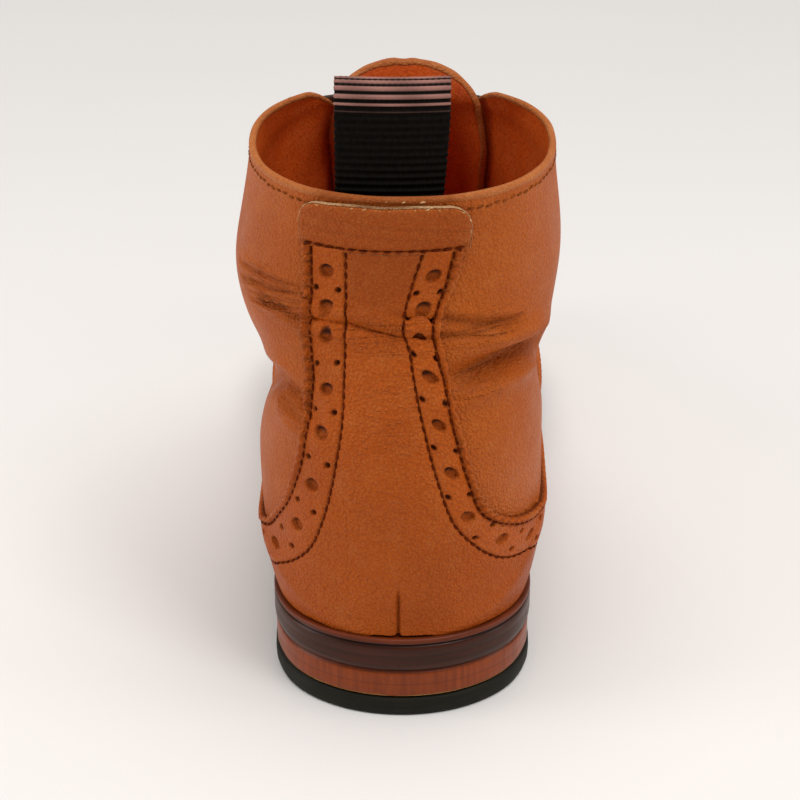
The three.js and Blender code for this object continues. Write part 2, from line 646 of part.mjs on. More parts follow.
// The tongue: a sheet that follows the form under the facings and rises in an arch above them
function tongueGeometry() {
  const start = throatStart - tongueTuck / soleLength;
  const rows = 15;
  const columns = 6;
  const face = upperWall + 4 * gap;
  const grid = (depth) => {
    const made = [];
    for (let i = 0; i <= rows; i++) {
      const s = i / rows;
      const at = start + (1 - start) * Math.min(1, s / tongueFlat);
      const over = Math.max(0, (s - tongueFlat) / (1 - tongueFlat));
      const arch = Math.max(0, (s - tongueArch) / (1 - tongueArch));
      const wide = (tongueWidth / 2) * (1 - 0.98 * arch ** 2.6) ** 0.5 * (0.8 + 0.2 * smooth(0, 0.6, s));
      const row = [];
      for (let j = 0; j <= columns; j++) {
        const x = wide * (2 * (j / columns) - 1);
        const point = ridgePoint(Math.min(at, 1), x, -depth);
        point.z += over * tongueRise;
        point.y += over * tongueLean;
        row.push(point);
      }
      made.push(row);
    }
    return made;
  };
  return sheetGeometry(grid(face + tongueThickness), grid(face));
}

// Edge of the sole set in by a distance, from the back round to the toe, on one side
function soleLine(side, inset, to, stations) {
  const line = [];
  for (let i = 0; i <= stations; i++) {
    const turn = (turnOf(to / soleLength) * i) / stations;
    const spot = (t) => {
      const y = soleLength * shareOf(t);
      return new THREE.Vector2(soleEdgeAt(y, side), y);
    };
    const step = 0.02;
    const run = spot(Math.min(Math.PI, turn + step)).sub(spot(Math.max(0, turn - step))).normalize();
    const point = spot(turn);
    point.x -= side * inset * run.y;
    point.y += side * inset * run.x;
    line.push(point);
  }
  return line;
}

// A plate between two lines along the sole and two heights that change along it
function plateBetween(lateral, medial, low, high, across = 2, dish = 0) {
  const grid = (height) =>
    lateral.map((a, i) => {
      const row = [];
      for (let j = 0; j <= across; j++) {
        const t = j / across;
        const p = a.clone().lerp(medial[i], t);
        p.y -= dish * (1 - (2 * t - 1) ** 2) * smooth(0.7, 1, i / (lateral.length - 1));
        row.push(new THREE.Vector3(p.x, p.y, height(p.y)));
      }
      return row;
    });
  return sheetGeometry(grid(high), grid(low));
}

// A plate of the sole, set in from its edge
function plate(inset, low, high) {
  const stations = 30;
  const line = (side) => soleLine(side, inset, soleLength, stations);
  return plateBetween(line(-1), line(1), low, high);
}

// A lift of the heel, with a hollow front
function heelLift(inset, low, high) {
  const stations = 16;
  const line = (side) => soleLine(side, inset, heelLength, stations);
  return plateBetween(line(-1), line(1), low, high, 4, breastDish);
}

// The welt: a strip round the edge of the sole
function weltGeometry() {
  const high = (y) => weltTop(y);
  const low = (y) => weltTop(y) - weltThickness;
  const outer = solid(plate(0, low, high));
  const inner = solid(plate(weltWidth, (y) => low(y) - 1, (y) => high(y) + 1));
  return shape(outer.subtract(inner));
}

// The insole: a flange on the welt and a plug that fills the space inside it
function insoleGeometry() {
  const top = (y) => weltTop(y) + gap + insoleThickness;
  const rest = (y) => weltTop(y) + gap;
  const foot = (y) => weltTop(y) - weltThickness;
  const feather = fanStations.slice(0, cornerIndex + 1).reverse();
  const line = (side) =>
    feather.map((at) => {
      const point = offsetPoint(side, at, 0, -upperWall - 5 * gap);
      return new THREE.Vector2(point.x, point.y);
    });
  const flange = solid(plateBetween(line(-1), line(1), rest, top));
  const room = Math.max(weltWidth, toeMargin + upperWall) + 3 * gap;
  const plug = solid(plate(room, foot, (y) => rest(y) + insoleThickness / 2));
  return shape(flange.add(plug));
}

// The pull loop: a band folded over at the top, both ends inside the back of the collar
function loopGeometry() {
  const collarZ = heelHeight + gap + shaftRise;
  const radius = (loopDepth - loopThickness) / 2;
  const [low, high] = [collarZ - loopSeat, collarZ + loopRise - loopDepth / 2];
  const legY = loopStand + loopThickness / 2;
  const path = [];
  for (let k = 0; k <= 5; k++) path.push([legY, low + ((high - low) * k) / 5, Math.PI]);
  for (let k = 1; k < 8; k++) {
    const turn = Math.PI * (1 - k / 8);
    path.push([legY + radius + radius * Math.cos(turn), high + radius * Math.sin(turn), turn]);
  }
  for (let k = 5; k >= 0; k--) path.push([legY + 2 * radius, low + ((high - low) * k) / 5, 0]);
  const columns = 6;
  const grid = (push) =>
    path.map(([y, z, turn]) => {
      const row = [];
      for (let j = 0; j <= columns; j++) {
        const t = (2 * j) / columns - 1;
        const half = (loopWidth / 2) * (0.92 + 0.08 * smooth(low, high, z));
        const bow = loopBow * t * t;
        row.push(
          new THREE.Vector3(loopOffset + t * half, y + bow + push * Math.cos(turn), z + push * Math.sin(turn)),
        );
      }
      return row;
    });
  return sheetGeometry(grid(loopThickness / 2), grid(-loopThickness / 2));
}

// Places of the eyelets, from the lowest pair up, evenly along the edge of the facing
const edgeSteps = 60;
const facingEdge = [];
for (let i = 0; i <= edgeSteps; i++) {
  const at = throatStart + ((1 - throatStart) * i) / edgeSteps;
  const x = throatHalf(at) + eyeletInset;
  const point = ridgePoint(at, x, 0);
  const before = facingEdge[i - 1];
  facingEdge.push({ at, x, point, run: before ? before.run + point.distanceTo(before.point) : 0 });
}
const facingLength = facingEdge[edgeSteps].run;
const eyelets = [];
for (let i = 0; i < eyeletPairs; i++) {
  const run = THREE.MathUtils.lerp(eyeletStart, facingLength - eyeletEnd, i / (eyeletPairs - 1));
  eyelets.push(facingEdge.find((spot) => spot.run >= run));
}
const spotOf = ({ at, x }, side, distance) => ridgePoint(at, side * x, distance);

// A disc or ring that lies on the form at an eyelet
function roundAt(eyelet, side, outline, from, to) {
  const low = spotOf(eyelet, side, from);
  const high = spotOf(eyelet, side, to);
  const axis = high.clone().sub(low);
  const made = new THREE.ExtrudeGeometry(outline, { depth: axis.length(), bevelEnabled: false, curveSegments: 5 });
  made.applyQuaternion(new THREE.Quaternion().setFromUnitVectors(new THREE.Vector3(0, 0, 1), axis.normalize()));
  return made.translate(low.x, low.y, low.z);
}
const disc = (radius) => new THREE.Shape().absarc(0, 0, radius, 0, 2 * Math.PI);
function eyeletGeometry(eyelet, side) {
  const ring = disc(eyeletRadius);
  ring.holes.push(disc(eyeletHole));
  return roundAt(eyelet, side, ring, eyeletLift, eyeletLift + eyeletThickness);
}

// The lace: a bar at the lowest pair and two strands that zigzag up from it, joined where they cross
function laceGeometry() {
  const rest = eyeletLift + eyeletThickness + 4 * gap;
  const perCrossing = 5;
  const strand = (stops, lift) => {
    const clear = rest + lift;
    const count = (stops.length - 1) * perCrossing;
    const spot = (k, d) => {
      const i = Math.min(stops.length - 2, Math.floor(k / perCrossing));
      const t = k / perCrossing - i;
      const [from, to] = [stops[i], stops[i + 1]];
      return ridgePoint(THREE.MathUtils.lerp(from.at, to.at, t), THREE.MathUtils.lerp(from.x, to.x, t), d);
    };
    const [top, under] = [[], []];
    for (let k = 0; k <= count; k++) {
      const run = spot(Math.min(count, k + 0.3), clear).sub(spot(Math.max(0, k - 0.3), clear)).normalize();
      const up = spot(k, clear + 1).sub(spot(k, clear));
      const aside = run.cross(up).normalize().multiplyScalar(laceWidth / 2);
      const [a, b] = [spot(k, clear + laceThickness), spot(k, clear)];
      top.push([a.clone().sub(aside), a.clone().add(aside)]);
      under.push([b.clone().sub(aside), b.clone().add(aside)]);
    }
    return solid(sheetGeometry(top, under));
  };
  const stop = ({ at, x }, side) => ({ at, x: side * x });
  const zigzag = (first) => eyelets.map((eyelet, i) => stop(eyelet, i % 2 ? -first : first));
  const bar = strand([stop(eyelets[0], -1), stop(eyelets[0], 1)], 0.25);
  return shape(bar.add(strand(zigzag(-1), 0)).add(strand(zigzag(1), 0.5)));
}

const group = new THREE.Group();
group.name = "ankle_boot";
group.position.y = -heelCentre;
function add(name, geometry, material) {
  const mesh = new THREE.Mesh(geometry, material);
  mesh.name = name;
  group.add(mesh);
}

const outsoleTop = (y) => weltTop(y) - weltThickness - gap;
const outsoleBottom = (y) => outsoleTop(y) - outsoleThickness;
const stackFoot = topPieceThickness + gap;

add("upper", upperGeometry(), tan);
add("counter", counterGeometry(), tanDeep);
add("back_tab", backTabGeometry(), tanDeep);
add("toe_cap", toeCapGeometry(), tanDeep);
add("tongue", tongueGeometry(), lining);
add("insole", insoleGeometry(), lining);
add("pull_loop", loopGeometry(), webbing);
add("welt", weltGeometry(), weltTan);
add("outsole", plate(0, outsoleBottom, outsoleTop), soleEdge);
add("heel_stack", heelLift(stackInset, () => stackFoot, (y) => outsoleBottom(y) - gap), stackBrown);
add("heel_top_piece", heelLift(0, () => 0, () => topPieceThickness), rubber);
for (const [i, eyelet] of eyelets.entries()) {
  add(`eyelet_lateral_${i + 1}`, eyeletGeometry(eyelet, -1), bronze);
  add(`eyelet_medial_${i + 1}`, eyeletGeometry(eyelet, 1), bronze);
}
add("laces", laceGeometry(), cord);

export default group;
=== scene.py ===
"""Ankle boot in tan leather: its skins, stitching, punched counter, sole, light and camera."""
import math

import bpy
import numpy as np
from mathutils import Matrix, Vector
from mathutils.bvhtree import BVHTree


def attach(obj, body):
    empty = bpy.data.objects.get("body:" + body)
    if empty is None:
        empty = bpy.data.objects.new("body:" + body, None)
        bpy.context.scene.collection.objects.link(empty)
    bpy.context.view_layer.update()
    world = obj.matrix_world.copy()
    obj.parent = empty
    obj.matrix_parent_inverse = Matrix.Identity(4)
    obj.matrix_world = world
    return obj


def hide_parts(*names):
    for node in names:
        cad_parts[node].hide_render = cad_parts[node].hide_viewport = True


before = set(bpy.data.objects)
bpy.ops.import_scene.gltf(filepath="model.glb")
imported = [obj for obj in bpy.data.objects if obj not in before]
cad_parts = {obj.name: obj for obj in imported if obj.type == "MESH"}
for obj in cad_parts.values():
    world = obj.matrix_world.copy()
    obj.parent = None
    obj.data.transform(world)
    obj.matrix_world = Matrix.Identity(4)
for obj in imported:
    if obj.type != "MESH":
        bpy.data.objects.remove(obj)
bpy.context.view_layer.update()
dice = np.random.default_rng(7)

# Sizes in millimetres, y from the back of the sole, as in the solids
MM = 0.001
SOLE_LENGTH = 300.0
SOLE_WIDTH = 104.0
HEEL_WIDTH = 74.0
HEEL_LENGTH = 68.0
HEEL_CENTRE = 36.0
TOP_PIECE = 5.5
STACK = 8.0
OUTSOLE = 8.2
WELT = 1.7
WELT_WIDTH = 9.0
TOE_SPRING = 9.0
INSOLE = 2.6
INSOLE_ROUNDING = 0.8
WALL = 2.4
BALL_WIDTH = 96.0
ANKLE_WIDTH = 82.0
SHAFT_RISE = 120.0
HEEL_MARGIN = 3.2
TOE_MARGIN = 7.0
FEATHER_SHARE = 0.93
OVERLAY_TOP = 1.75
THROAT_START = 0.37
THROAT_GAP = 9.0
COLLAR_GAP = 50.0
CORNER_RADIUS = 4.5
HEEL_CORNER = 0.6
GAP = 0.3
HEEL_HEIGHT = TOP_PIECE + STACK + OUTSOLE + WELT + 3 * GAP
FOREFOOT = OUTSOLE + WELT + GAP
COLLAR_Z = HEEL_HEIGHT + GAP + SHAFT_RISE
POST_Y = 55.0  # an upright line inside the shaft, from which bearings are taken
DEGREE_MM = 0.8  # about one degree of bearing, measured on the leather
DROP_START, DROP_END = 0.18, 0.58  # shares of the length between which the heel's height is lost
SPRING_START, SPRING_POWER = 0.75, 1.9
BEND_SHARE, BEND_START, BEND_POWER = 0.077, 0.35, 1.6  # of the middle line towards the inner side
OPENING_POWER, OPENING_START = 0.9, 0.03
PUSH_EASE = 6.0  # half width over which a fold's push fades at the middle plane
FINITE_STEP = 0.008

# share along the sole, width that counts, medial and lateral share of it
SOLE_TABLE = [
    (0.0, HEEL_WIDTH, 0.0, 0.0),
    (0.012, HEEL_WIDTH, 0.226, 0.226),
    (0.045, HEEL_WIDTH, 0.4, 0.4),
    (0.09, HEEL_WIDTH, 0.486, 0.484),
    (0.14, HEEL_WIDTH, 0.5, 0.5),
    (0.21, HEEL_WIDTH, 0.478, 0.495),
    (0.3, SOLE_WIDTH, 0.307, 0.347),
    (0.4, SOLE_WIDTH, 0.305, 0.352),
    (0.5, SOLE_WIDTH, 0.372, 0.394),
    (0.6, SOLE_WIDTH, 0.465, 0.449),
    (0.69, SOLE_WIDTH, 0.513, 0.468),
    (0.77, SOLE_WIDTH, 0.512, 0.436),
    (0.85, SOLE_WIDTH, 0.462, 0.351),
    (0.92, SOLE_WIDTH, 0.365, 0.231),
    (0.965, SOLE_WIDTH, 0.269, 0.126),
    (0.99, SOLE_WIDTH, 0.172, 0.032),
    (1.0, SOLE_WIDTH, 0.077, -0.077),
]
# place in the fan, y and height of the top, width that counts, medial, lateral, waist, roundness
SECTION_TABLE = [
    (0.0, 0.9767, 0.03, BALL_WIDTH, 0.0, 0.0, 0.4, 2.1),
    (0.03, 0.972, 0.1, BALL_WIDTH, 0.0, 0.0, 0.42, 2.2),
    (0.06, 0.956, 0.165, BALL_WIDTH, 0.0, 0.0, 0.4, 2.3),
    (0.1, 0.918, 0.235, BALL_WIDTH, 0.0, 0.0, 0.38, 2.3),
    (0.14, 0.868, 0.28, BALL_WIDTH, 0.37, 0.4, 0.36, 2.25),
    (0.19, 0.8, 0.328, BALL_WIDTH, 0.455, 0.475, 0.34, 2.2),
    (0.24, 0.728, 0.395, BALL_WIDTH, 0.488, 0.5, 0.32, 2.15),
    (0.29, 0.655, 0.48, BALL_WIDTH, 0.492, 0.488, 0.3, 2.1),
    (0.34, 0.595, 0.59, BALL_WIDTH, 0.465, 0.452, 0.26, 2.05),
    (0.39, 0.545, 0.7, BALL_WIDTH, 0.425, 0.42, 0.24, 2.0),
    (0.44, 0.502, 0.805, ANKLE_WIDTH, 0.48, 0.482, 0.24, 2.05),
    (0.5, 0.462, 0.895, ANKLE_WIDTH, 0.482, 0.484, 0.28, 2.15),
    (0.56, 0.434, 0.952, ANKLE_WIDTH, 0.484, 0.488, 0.33, 2.3),
    (0.62, 0.414, 0.99, ANKLE_WIDTH, 0.484, 0.496, 0.42, 2.3),
    (0.7, 0.395, 1.02, ANKLE_WIDTH, 0.49, 0.505, 0.48, 2.25),
    (0.8, 0.377, 1.048, ANKLE_WIDTH, 0.505, 0.518, 0.5, 2.25),
    (0.9, 0.362, 1.075, ANKLE_WIDTH, 0.512, 0.52, 0.52, 2.25),
    (1.0, 0.347, 1.099, ANKLE_WIDTH, 0.5, 0.497, 0.52, 2.25),
]
# share of the climb up the heel's back, and how far the back lies forward in shares of the heel's length
BACK_TABLE = [
    (0, 0), (0.12, -0.014), (0.26, -0.018), (0.42, -0.004), (0.58, 0.04), (0.72, 0.085), (0.86, 0.085),
    (1, 0.055),
]
# folds of the form: side, start (y, z), end (y, z), spread, push
FOLD_TABLE = [
    (-1, (6, 95.04), (92.1, 72), 11.04, -6.23),
    (1, (6, 99), (66, 84), 8.04, -3.44),
    (-1, (21.9, 117), (69.9, 114), 15, 3.36),
    (1, (21.9, 122.04), (69.9, 120), 15, 1.8),
]


def hermite(keys, values, x):
    keys, values = np.asarray(keys, float), np.asarray(values, float)
    x = np.clip(x, keys[0], keys[-1])
    i = np.clip(np.searchsorted(keys, x, side="right") - 1, 0, len(keys) - 2)
    low = np.maximum(np.arange(len(keys)) - 1, 0)
    high = np.minimum(np.arange(len(keys)) + 1, len(keys) - 1)
    slope = (values[high] - values[low]) / (keys[high] - keys[low])
    wide = keys[i + 1] - keys[i]
    t = (x - keys[i]) / wide
    rise = (2 * t**3 - 3 * t * t + 1) * values[i] + (3 * t * t - 2 * t**3) * values[i + 1]
    return rise + (t**3 - 2 * t * t + t) * wide * slope[i] + (t**3 - t * t) * wide * slope[i + 1]


def column(rows, i):
    return np.array([row[i] for row in rows], float)


SOLE_TURN = np.arccos(1 - 2 * column(SOLE_TABLE, 0))
SOLE_HALF = {side: column(SOLE_TABLE, 1) * column(SOLE_TABLE, k) for side, k in ((1, 2), (-1, 3))}
SECTION_AT = column(SECTION_TABLE, 0)
SECTION_HALF = {side: column(SECTION_TABLE, 3) * column(SECTION_TABLE, k) for side, k in ((1, 4), (-1, 5))}


def smooth(low, high, value):
    t = np.clip((value - low) / (high - low), 0, 1)
    return t * t * (3 - 2 * t)


def unit(v):
    return v / np.maximum(np.linalg.norm(v, axis=-1, keepdims=True), 1e-9)


def welt_top(y):
    drop = (HEEL_HEIGHT - FOREFOOT) * smooth(DROP_START * SOLE_LENGTH, DROP_END * SOLE_LENGTH, y)
    reach = np.maximum(0, (y - SPRING_START * SOLE_LENGTH) / ((1 - SPRING_START) * SOLE_LENGTH))
    return HEEL_HEIGHT - drop + TOE_SPRING * reach**SPRING_POWER


def middle(y):
    reach = np.maximum(0, (y - BEND_START * SOLE_LENGTH) / ((1 - BEND_START) * SOLE_LENGTH))
    return BEND_SHARE * SOLE_WIDTH * reach**BEND_POWER


def outsole_top(y):
    return welt_top(y) - WELT - GAP


def outsole_bottom(y):
    return outsole_top(y) - OUTSOLE


def fold_push(side, y, z):
    push = np.zeros(np.broadcast(y, z).shape)
    for of_side, start, end, spread, amount in FOLD_TABLE:
        if of_side != side:
            continue
        run = np.subtract(end, start).astype(float)
        length = np.hypot(*run)
        t = ((y - start[0]) * run[0] + (z - start[1]) * run[1]) / length**2
        off = ((z - start[1]) * run[0] - (y - start[0]) * run[1]) / length / spread
        past = np.maximum(0, np.maximum(-t, t - 1)) * length / spread
        push = push + amount * np.exp(-off * off - past * past)
    return push


def throat_half(at):
    t = np.clip((at - THROAT_START) / (1 - THROAT_START), 0, 1)
    wide = THROAT_GAP + (COLLAR_GAP - THROAT_GAP) * t**OPENING_POWER
    return wide / 2 * np.minimum(1, t / OPENING_START)


class Section:
    def __init__(self, side, at):
        self.side = side
        on_foot = at < HEEL_CORNER
        turn = np.pi * (1 - np.minimum(at, HEEL_CORNER) / HEEL_CORNER)
        share = (1 - np.cos(turn)) / 2
        climb = np.clip((at - HEEL_CORNER) / (1 - HEEL_CORNER), 0, 1)
        foot_y = HEEL_MARGIN + (SOLE_LENGTH - TOE_MARGIN - HEEL_MARGIN) * share
        back_y = HEEL_MARGIN + HEEL_LENGTH * hermite(column(BACK_TABLE, 0), column(BACK_TABLE, 1), climb)
        self.low_y = np.where(on_foot, foot_y, back_y)
        self.low_z = np.where(on_foot, welt_top(foot_y) + GAP, HEEL_HEIGHT + GAP + SHAFT_RISE * climb)
        low_half = np.where(on_foot, FEATHER_SHARE * hermite(SOLE_TURN, SOLE_HALF[side], turn), 0)

        def value(k):
            return hermite(SECTION_AT, column(SECTION_TABLE, k), at)

        self.top_y = SOLE_LENGTH * value(1)
        self.top_z = welt_top(self.top_y) + GAP + SHAFT_RISE * value(2)
        self.centre = np.where(on_foot, middle((self.low_y + self.top_y) / 2), 0)
        foot = np.where(at > 0, np.maximum(0, low_half - side * self.centre), 0)
        wide = hermite(SECTION_AT, SECTION_HALF[side], at)
        self.half = np.where(at > 0, np.maximum(wide, 1.03 * foot), 0)
        self.waist = value(6)
        self.power = 2 / value(7)
        safe = np.where(self.half > 0, self.half, 1)
        tuck = np.arccos(np.clip(foot / safe, 0, 1) ** (1 / self.power))
        self.tuck = np.where(self.half > 0, tuck, np.pi / 2)

    def across(self, x):
        safe = np.where(self.half > 0, self.half, 1)
        angle = np.arccos(np.minimum(1, np.abs(x) / safe) ** (1 / self.power))
        return np.where(self.half > 0, angle, np.pi / 2)

    def point(self, angle):
        across = self.half * np.maximum(0, np.cos(angle)) ** self.power
        under = self.waist * (1 - (np.sin(np.maximum(0, -angle)) / np.sin(self.tuck)) ** self.power)
        above = self.waist + (1 - self.waist) * np.sin(np.maximum(0, angle)) ** self.power
        lift = np.where(angle < 0, under, above)
        y = self.low_y + (self.top_y - self.low_y) * lift
        z = self.low_z + (self.top_z - self.low_z) * lift
        push = across / (across + PUSH_EASE) * fold_push(self.side, y, z)
        return np.stack(np.broadcast_arrays(self.centre + self.side * (across + push), y, z), axis=-1)


def face(side, at, up):
    """The upper's outer form: up runs from the feather or the heel's back to the ridge or facing's edge."""
    at, up = np.broadcast_arrays(np.asarray(at, float), np.asarray(up, float))
    section = Section(side, at)
    slit = section.across(throat_half(at))
    return section.point((slit + section.tuck) * up - section.tuck)


def spot(at, x):
    at, x = np.broadcast_arrays(np.asarray(at, float), np.asarray(x, float))
    sides = []
    for side in (-1, 1):
        section = Section(side, at)
        sides.append(section.point(section.across(x)))
    return np.where((x < 0)[..., None], sides[0], sides[1])


def over(at, x, distance):
    """A point on the form at a distance across the ridge, and the way out of the leather."""
    at = np.minimum(1, at)
    a = np.minimum(1 - FINITE_STEP, at)
    slope = spot(a, x + 0.4) - spot(a, x - 0.4)
    climb = spot(a + FINITE_STEP, x) - spot(a - FINITE_STEP, x)
    out = unit(np.cross(climb, slope))
    return spot(at, x) + out * np.asarray(distance)[..., None], out


# Meshes
WELD, FINE_WELD = 0.004, 0.0005  # points nearer than this are one point


def grid_faces(rows, columns, start=0, flip=False, closed=False):
    r, c = np.meshgrid(np.arange(rows - 1), np.arange(columns if closed else columns - 1), indexing="ij")
    n = (c + 1) % columns
    quads = np.stack([r * columns + c, r * columns + n, (r + 1) * columns + n, (r + 1) * columns + c], -1)
    quads = quads.reshape(-1, 4) + start
    return quads[:, ::-1] if flip else quads


def merged(points, size):
    """Which points are kept, and which of those stands for each point."""
    key = np.round(points / size).astype(np.int64)
    _, first, back = np.unique(key, axis=0, return_index=True, return_inverse=True)
    return first, back.reshape(-1)


class Piece:
    """Grids and rings gathered into one mesh, with named masks on its points."""

    def __init__(self, name, masks=()):
        self.name = name
        self.points, self.quads, self.kinds = [], [], []
        self.masks = {mask: [] for mask in masks}
        self.count = 0

    def grid(self, points, flip=False, closed=False, kind=0, **masks):
        points = np.asarray(points, float)
        rows, columns = points.shape[:2]
        faces = grid_faces(rows, columns, self.count, flip, closed)
        self.quads.append(faces)
        self.kinds.append(np.full(len(faces), kind))
        self.points.append(points.reshape(-1, 3))
        for mask in self.masks:
            value = masks.get(mask, 0.0)
            self.masks[mask].append(np.broadcast_to(value, (rows, columns)).reshape(-1).astype(float))
        self.count += rows * columns

    def walls(self, front, back, flip=False, kind=0):
        """Closes the two long edges between two sheets."""
        for k in (0, -1):
            self.grid(np.stack([front[:, k], back[:, k]], axis=1), flip=flip != (k == -1), kind=kind)

    def build(self, materials, nodes=(), merge=WELD):
        points = np.concatenate(self.points)
        first, back = merged(points, merge)
        quads = back[np.concatenate(self.quads)]
        twins = quads == np.roll(quads, 1, axis=1)
        whole = twins.sum(axis=1) < 2
        corners = [
            [c for c, twin in zip(quad, double) if not twin]
            for quad, double in zip(quads[whole].tolist(), twins[whole].tolist())
        ]
        world = points[first] * MM
        world[:, 1] -= HEEL_CENTRE * MM
        mesh = bpy.data.meshes.new(self.name)
        mesh.from_pydata(world.tolist(), [], corners)
        mesh.polygons.foreach_set("material_index", np.concatenate(self.kinds)[whole].tolist())
        mesh.polygons.foreach_set("use_smooth", [True] * len(corners))
        for mask, values in self.masks.items():
            layer = mesh.attributes.new(mask, "FLOAT", "POINT")
            layer.data.foreach_set("value", np.concatenate(values)[first])
        for material in materials:
            mesh.materials.append(material)
        mesh.update()
        made = placed(self.name, mesh)
        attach(made, "root")
        if nodes:
            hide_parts(*nodes)
        return made


def placed(name, data):
    made = bpy.data.objects.new(name, data)
    bpy.context.scene.collection.objects.link(made)
    return made


def normals_of(points, sample, way):
    """Normals of a grid, turned so that a sample of them looks this way."""
    out = unit(np.cross(np.gradient(points, axis=1), np.gradient(points, axis=0)))
    return -out if np.mean(out[sample] @ np.array(way, float)) < 0 else out


def softened(points, times):
    for _ in range(times):
        inner = points.copy()
        inner[1:-1] = (points[:-2] + 2 * points[1:-1] + points[2:]) / 4
        points = inner.copy()
        points[:, 1:-1] = (inner[:, :-2] + 2 * inner[:, 1:-1] + inner[:, 2:]) / 4
    return points


def evened(values, reach):
    """A running mean over this many neighbours on each side."""
    count = 2 * reach + 1
    return np.convolve(np.pad(values, reach, mode="edge"), np.ones(count) / count, mode="valid")


def run_of(path, axis=0):
    """The length along a path, or along each line of a grid."""
    steps = np.linalg.norm(np.diff(path, axis=axis), axis=-1)
    start = np.zeros_like(np.take(steps, [0], axis=axis))
    return np.concatenate([start, np.cumsum(steps, axis=axis)], axis=axis)


def read(run, line, at):
    """The points of a line at these lengths along it."""
    return np.stack([np.interp(at, run, line[:, k]) for k in range(line.shape[1])], -1)


def resampled(path, out, step=1.0):
    run = run_of(path)
    at = np.linspace(0, run[-1], max(2, int(round(run[-1] / step)) + 1))
    return read(run, path, at), unit(read(run, out, at))


def ruled(start, end, share):
    """Points between two lines, at these shares of the way across."""
    return start[:, None] + (end - start)[:, None] * share[..., None]


def border_of(grid):
    return np.concatenate([grid[:, 0], grid[-1, 1:], grid[::-1, -1][1:], grid[0, ::-1][1:]])


def circle(count):
    return np.linspace(0, 2 * np.pi, count + 1)[:-1]


def bell(value, width):
    return np.exp(-((value / width) ** 2))


# Materials
class Shader:
    def __init__(self, name):
        self.material = bpy.data.materials.new(name)
        self.material.use_nodes = True
        self.tree = self.material.node_tree
        self.bsdf = self.tree.nodes["Principled BSDF"]
        self.coord = self.tree.nodes.new("ShaderNodeTexCoord").outputs["Object"]

    def node(self, kind, inputs=(), **settings):
        made = self.tree.nodes.new(kind)
        for key, value in settings.items():
            setattr(made, key, value)
        for key, value in dict(inputs).items():
            self.put(made.inputs[key], value)
        return made

    def put(self, socket, value):
        if isinstance(value, bpy.types.NodeSocket):
            self.tree.links.new(value, socket)
        else:
            socket.default_value = value

    def noise(self, scale, detail=4.0, rough=0.55, stretch=None):
        where = self.coord
        if stretch:
            where = self.node("ShaderNodeMapping", {"Vector": where, "Scale": stretch}).outputs["Vector"]
        pins = {"Vector": where, "Scale": scale, "Detail": detail, "Roughness": rough}
        return self.node("ShaderNodeTexNoise", pins).outputs["Fac"]

    def cells(self, scale):
        return self.node("ShaderNodeTexVoronoi", {"Vector": self.coord, "Scale": scale}).outputs["Distance"]

    def mask(self, name):
        return self.node("ShaderNodeAttribute", attribute_name=name).outputs["Fac"]

    def range(self, value, low, high, to_low, to_high):
        pins = {"Value": value, "From Min": low, "From Max": high, "To Min": to_low, "To Max": to_high}
        return self.node("ShaderNodeMapRange", pins).outputs["Result"]

    def math(self, operation, a, b):
        return self.node("ShaderNodeMath", {0: a, 1: b}, operation=operation).outputs[0]

    def mix(self, fac, a, b):
        return self.node("ShaderNodeMix", {0: fac, 6: a, 7: b}, data_type="RGBA").outputs[2]

    def bump(self, height, strength, distance, below=None):
        pins = {"Height": height, "Strength": strength, "Distance": distance}
        if below is not None:
            pins["Normal"] = below
        return self.node("ShaderNodeBump", pins).outputs["Normal"]

    def finish(self, color, rough, normal=None, **pins):
        pins |= {"Base_Color": color, "Roughness": rough}
        if normal is not None:
            pins["Normal"] = normal
        for key, value in pins.items():
            self.put(self.bsdf.inputs[key.replace("_", " ")], value)
        return self.material


def rgb(red, green, blue):
    def linear(c):
        c /= 255
        return c / 12.92 if c <= 0.04045 else ((c + 0.055) / 1.055) ** 2.4

    return (linear(red), linear(green), linear(blue), 1.0)


SHADE_AND_STAIN_COLOR = rgb(98, 42, 10)
FINE_CREASE_SHADE_COLOR = rgb(92, 38, 10)
RECESS_SHADE_COLOR = rgb(52, 18, 5)
GLUE_COLOR = rgb(196, 150, 84)


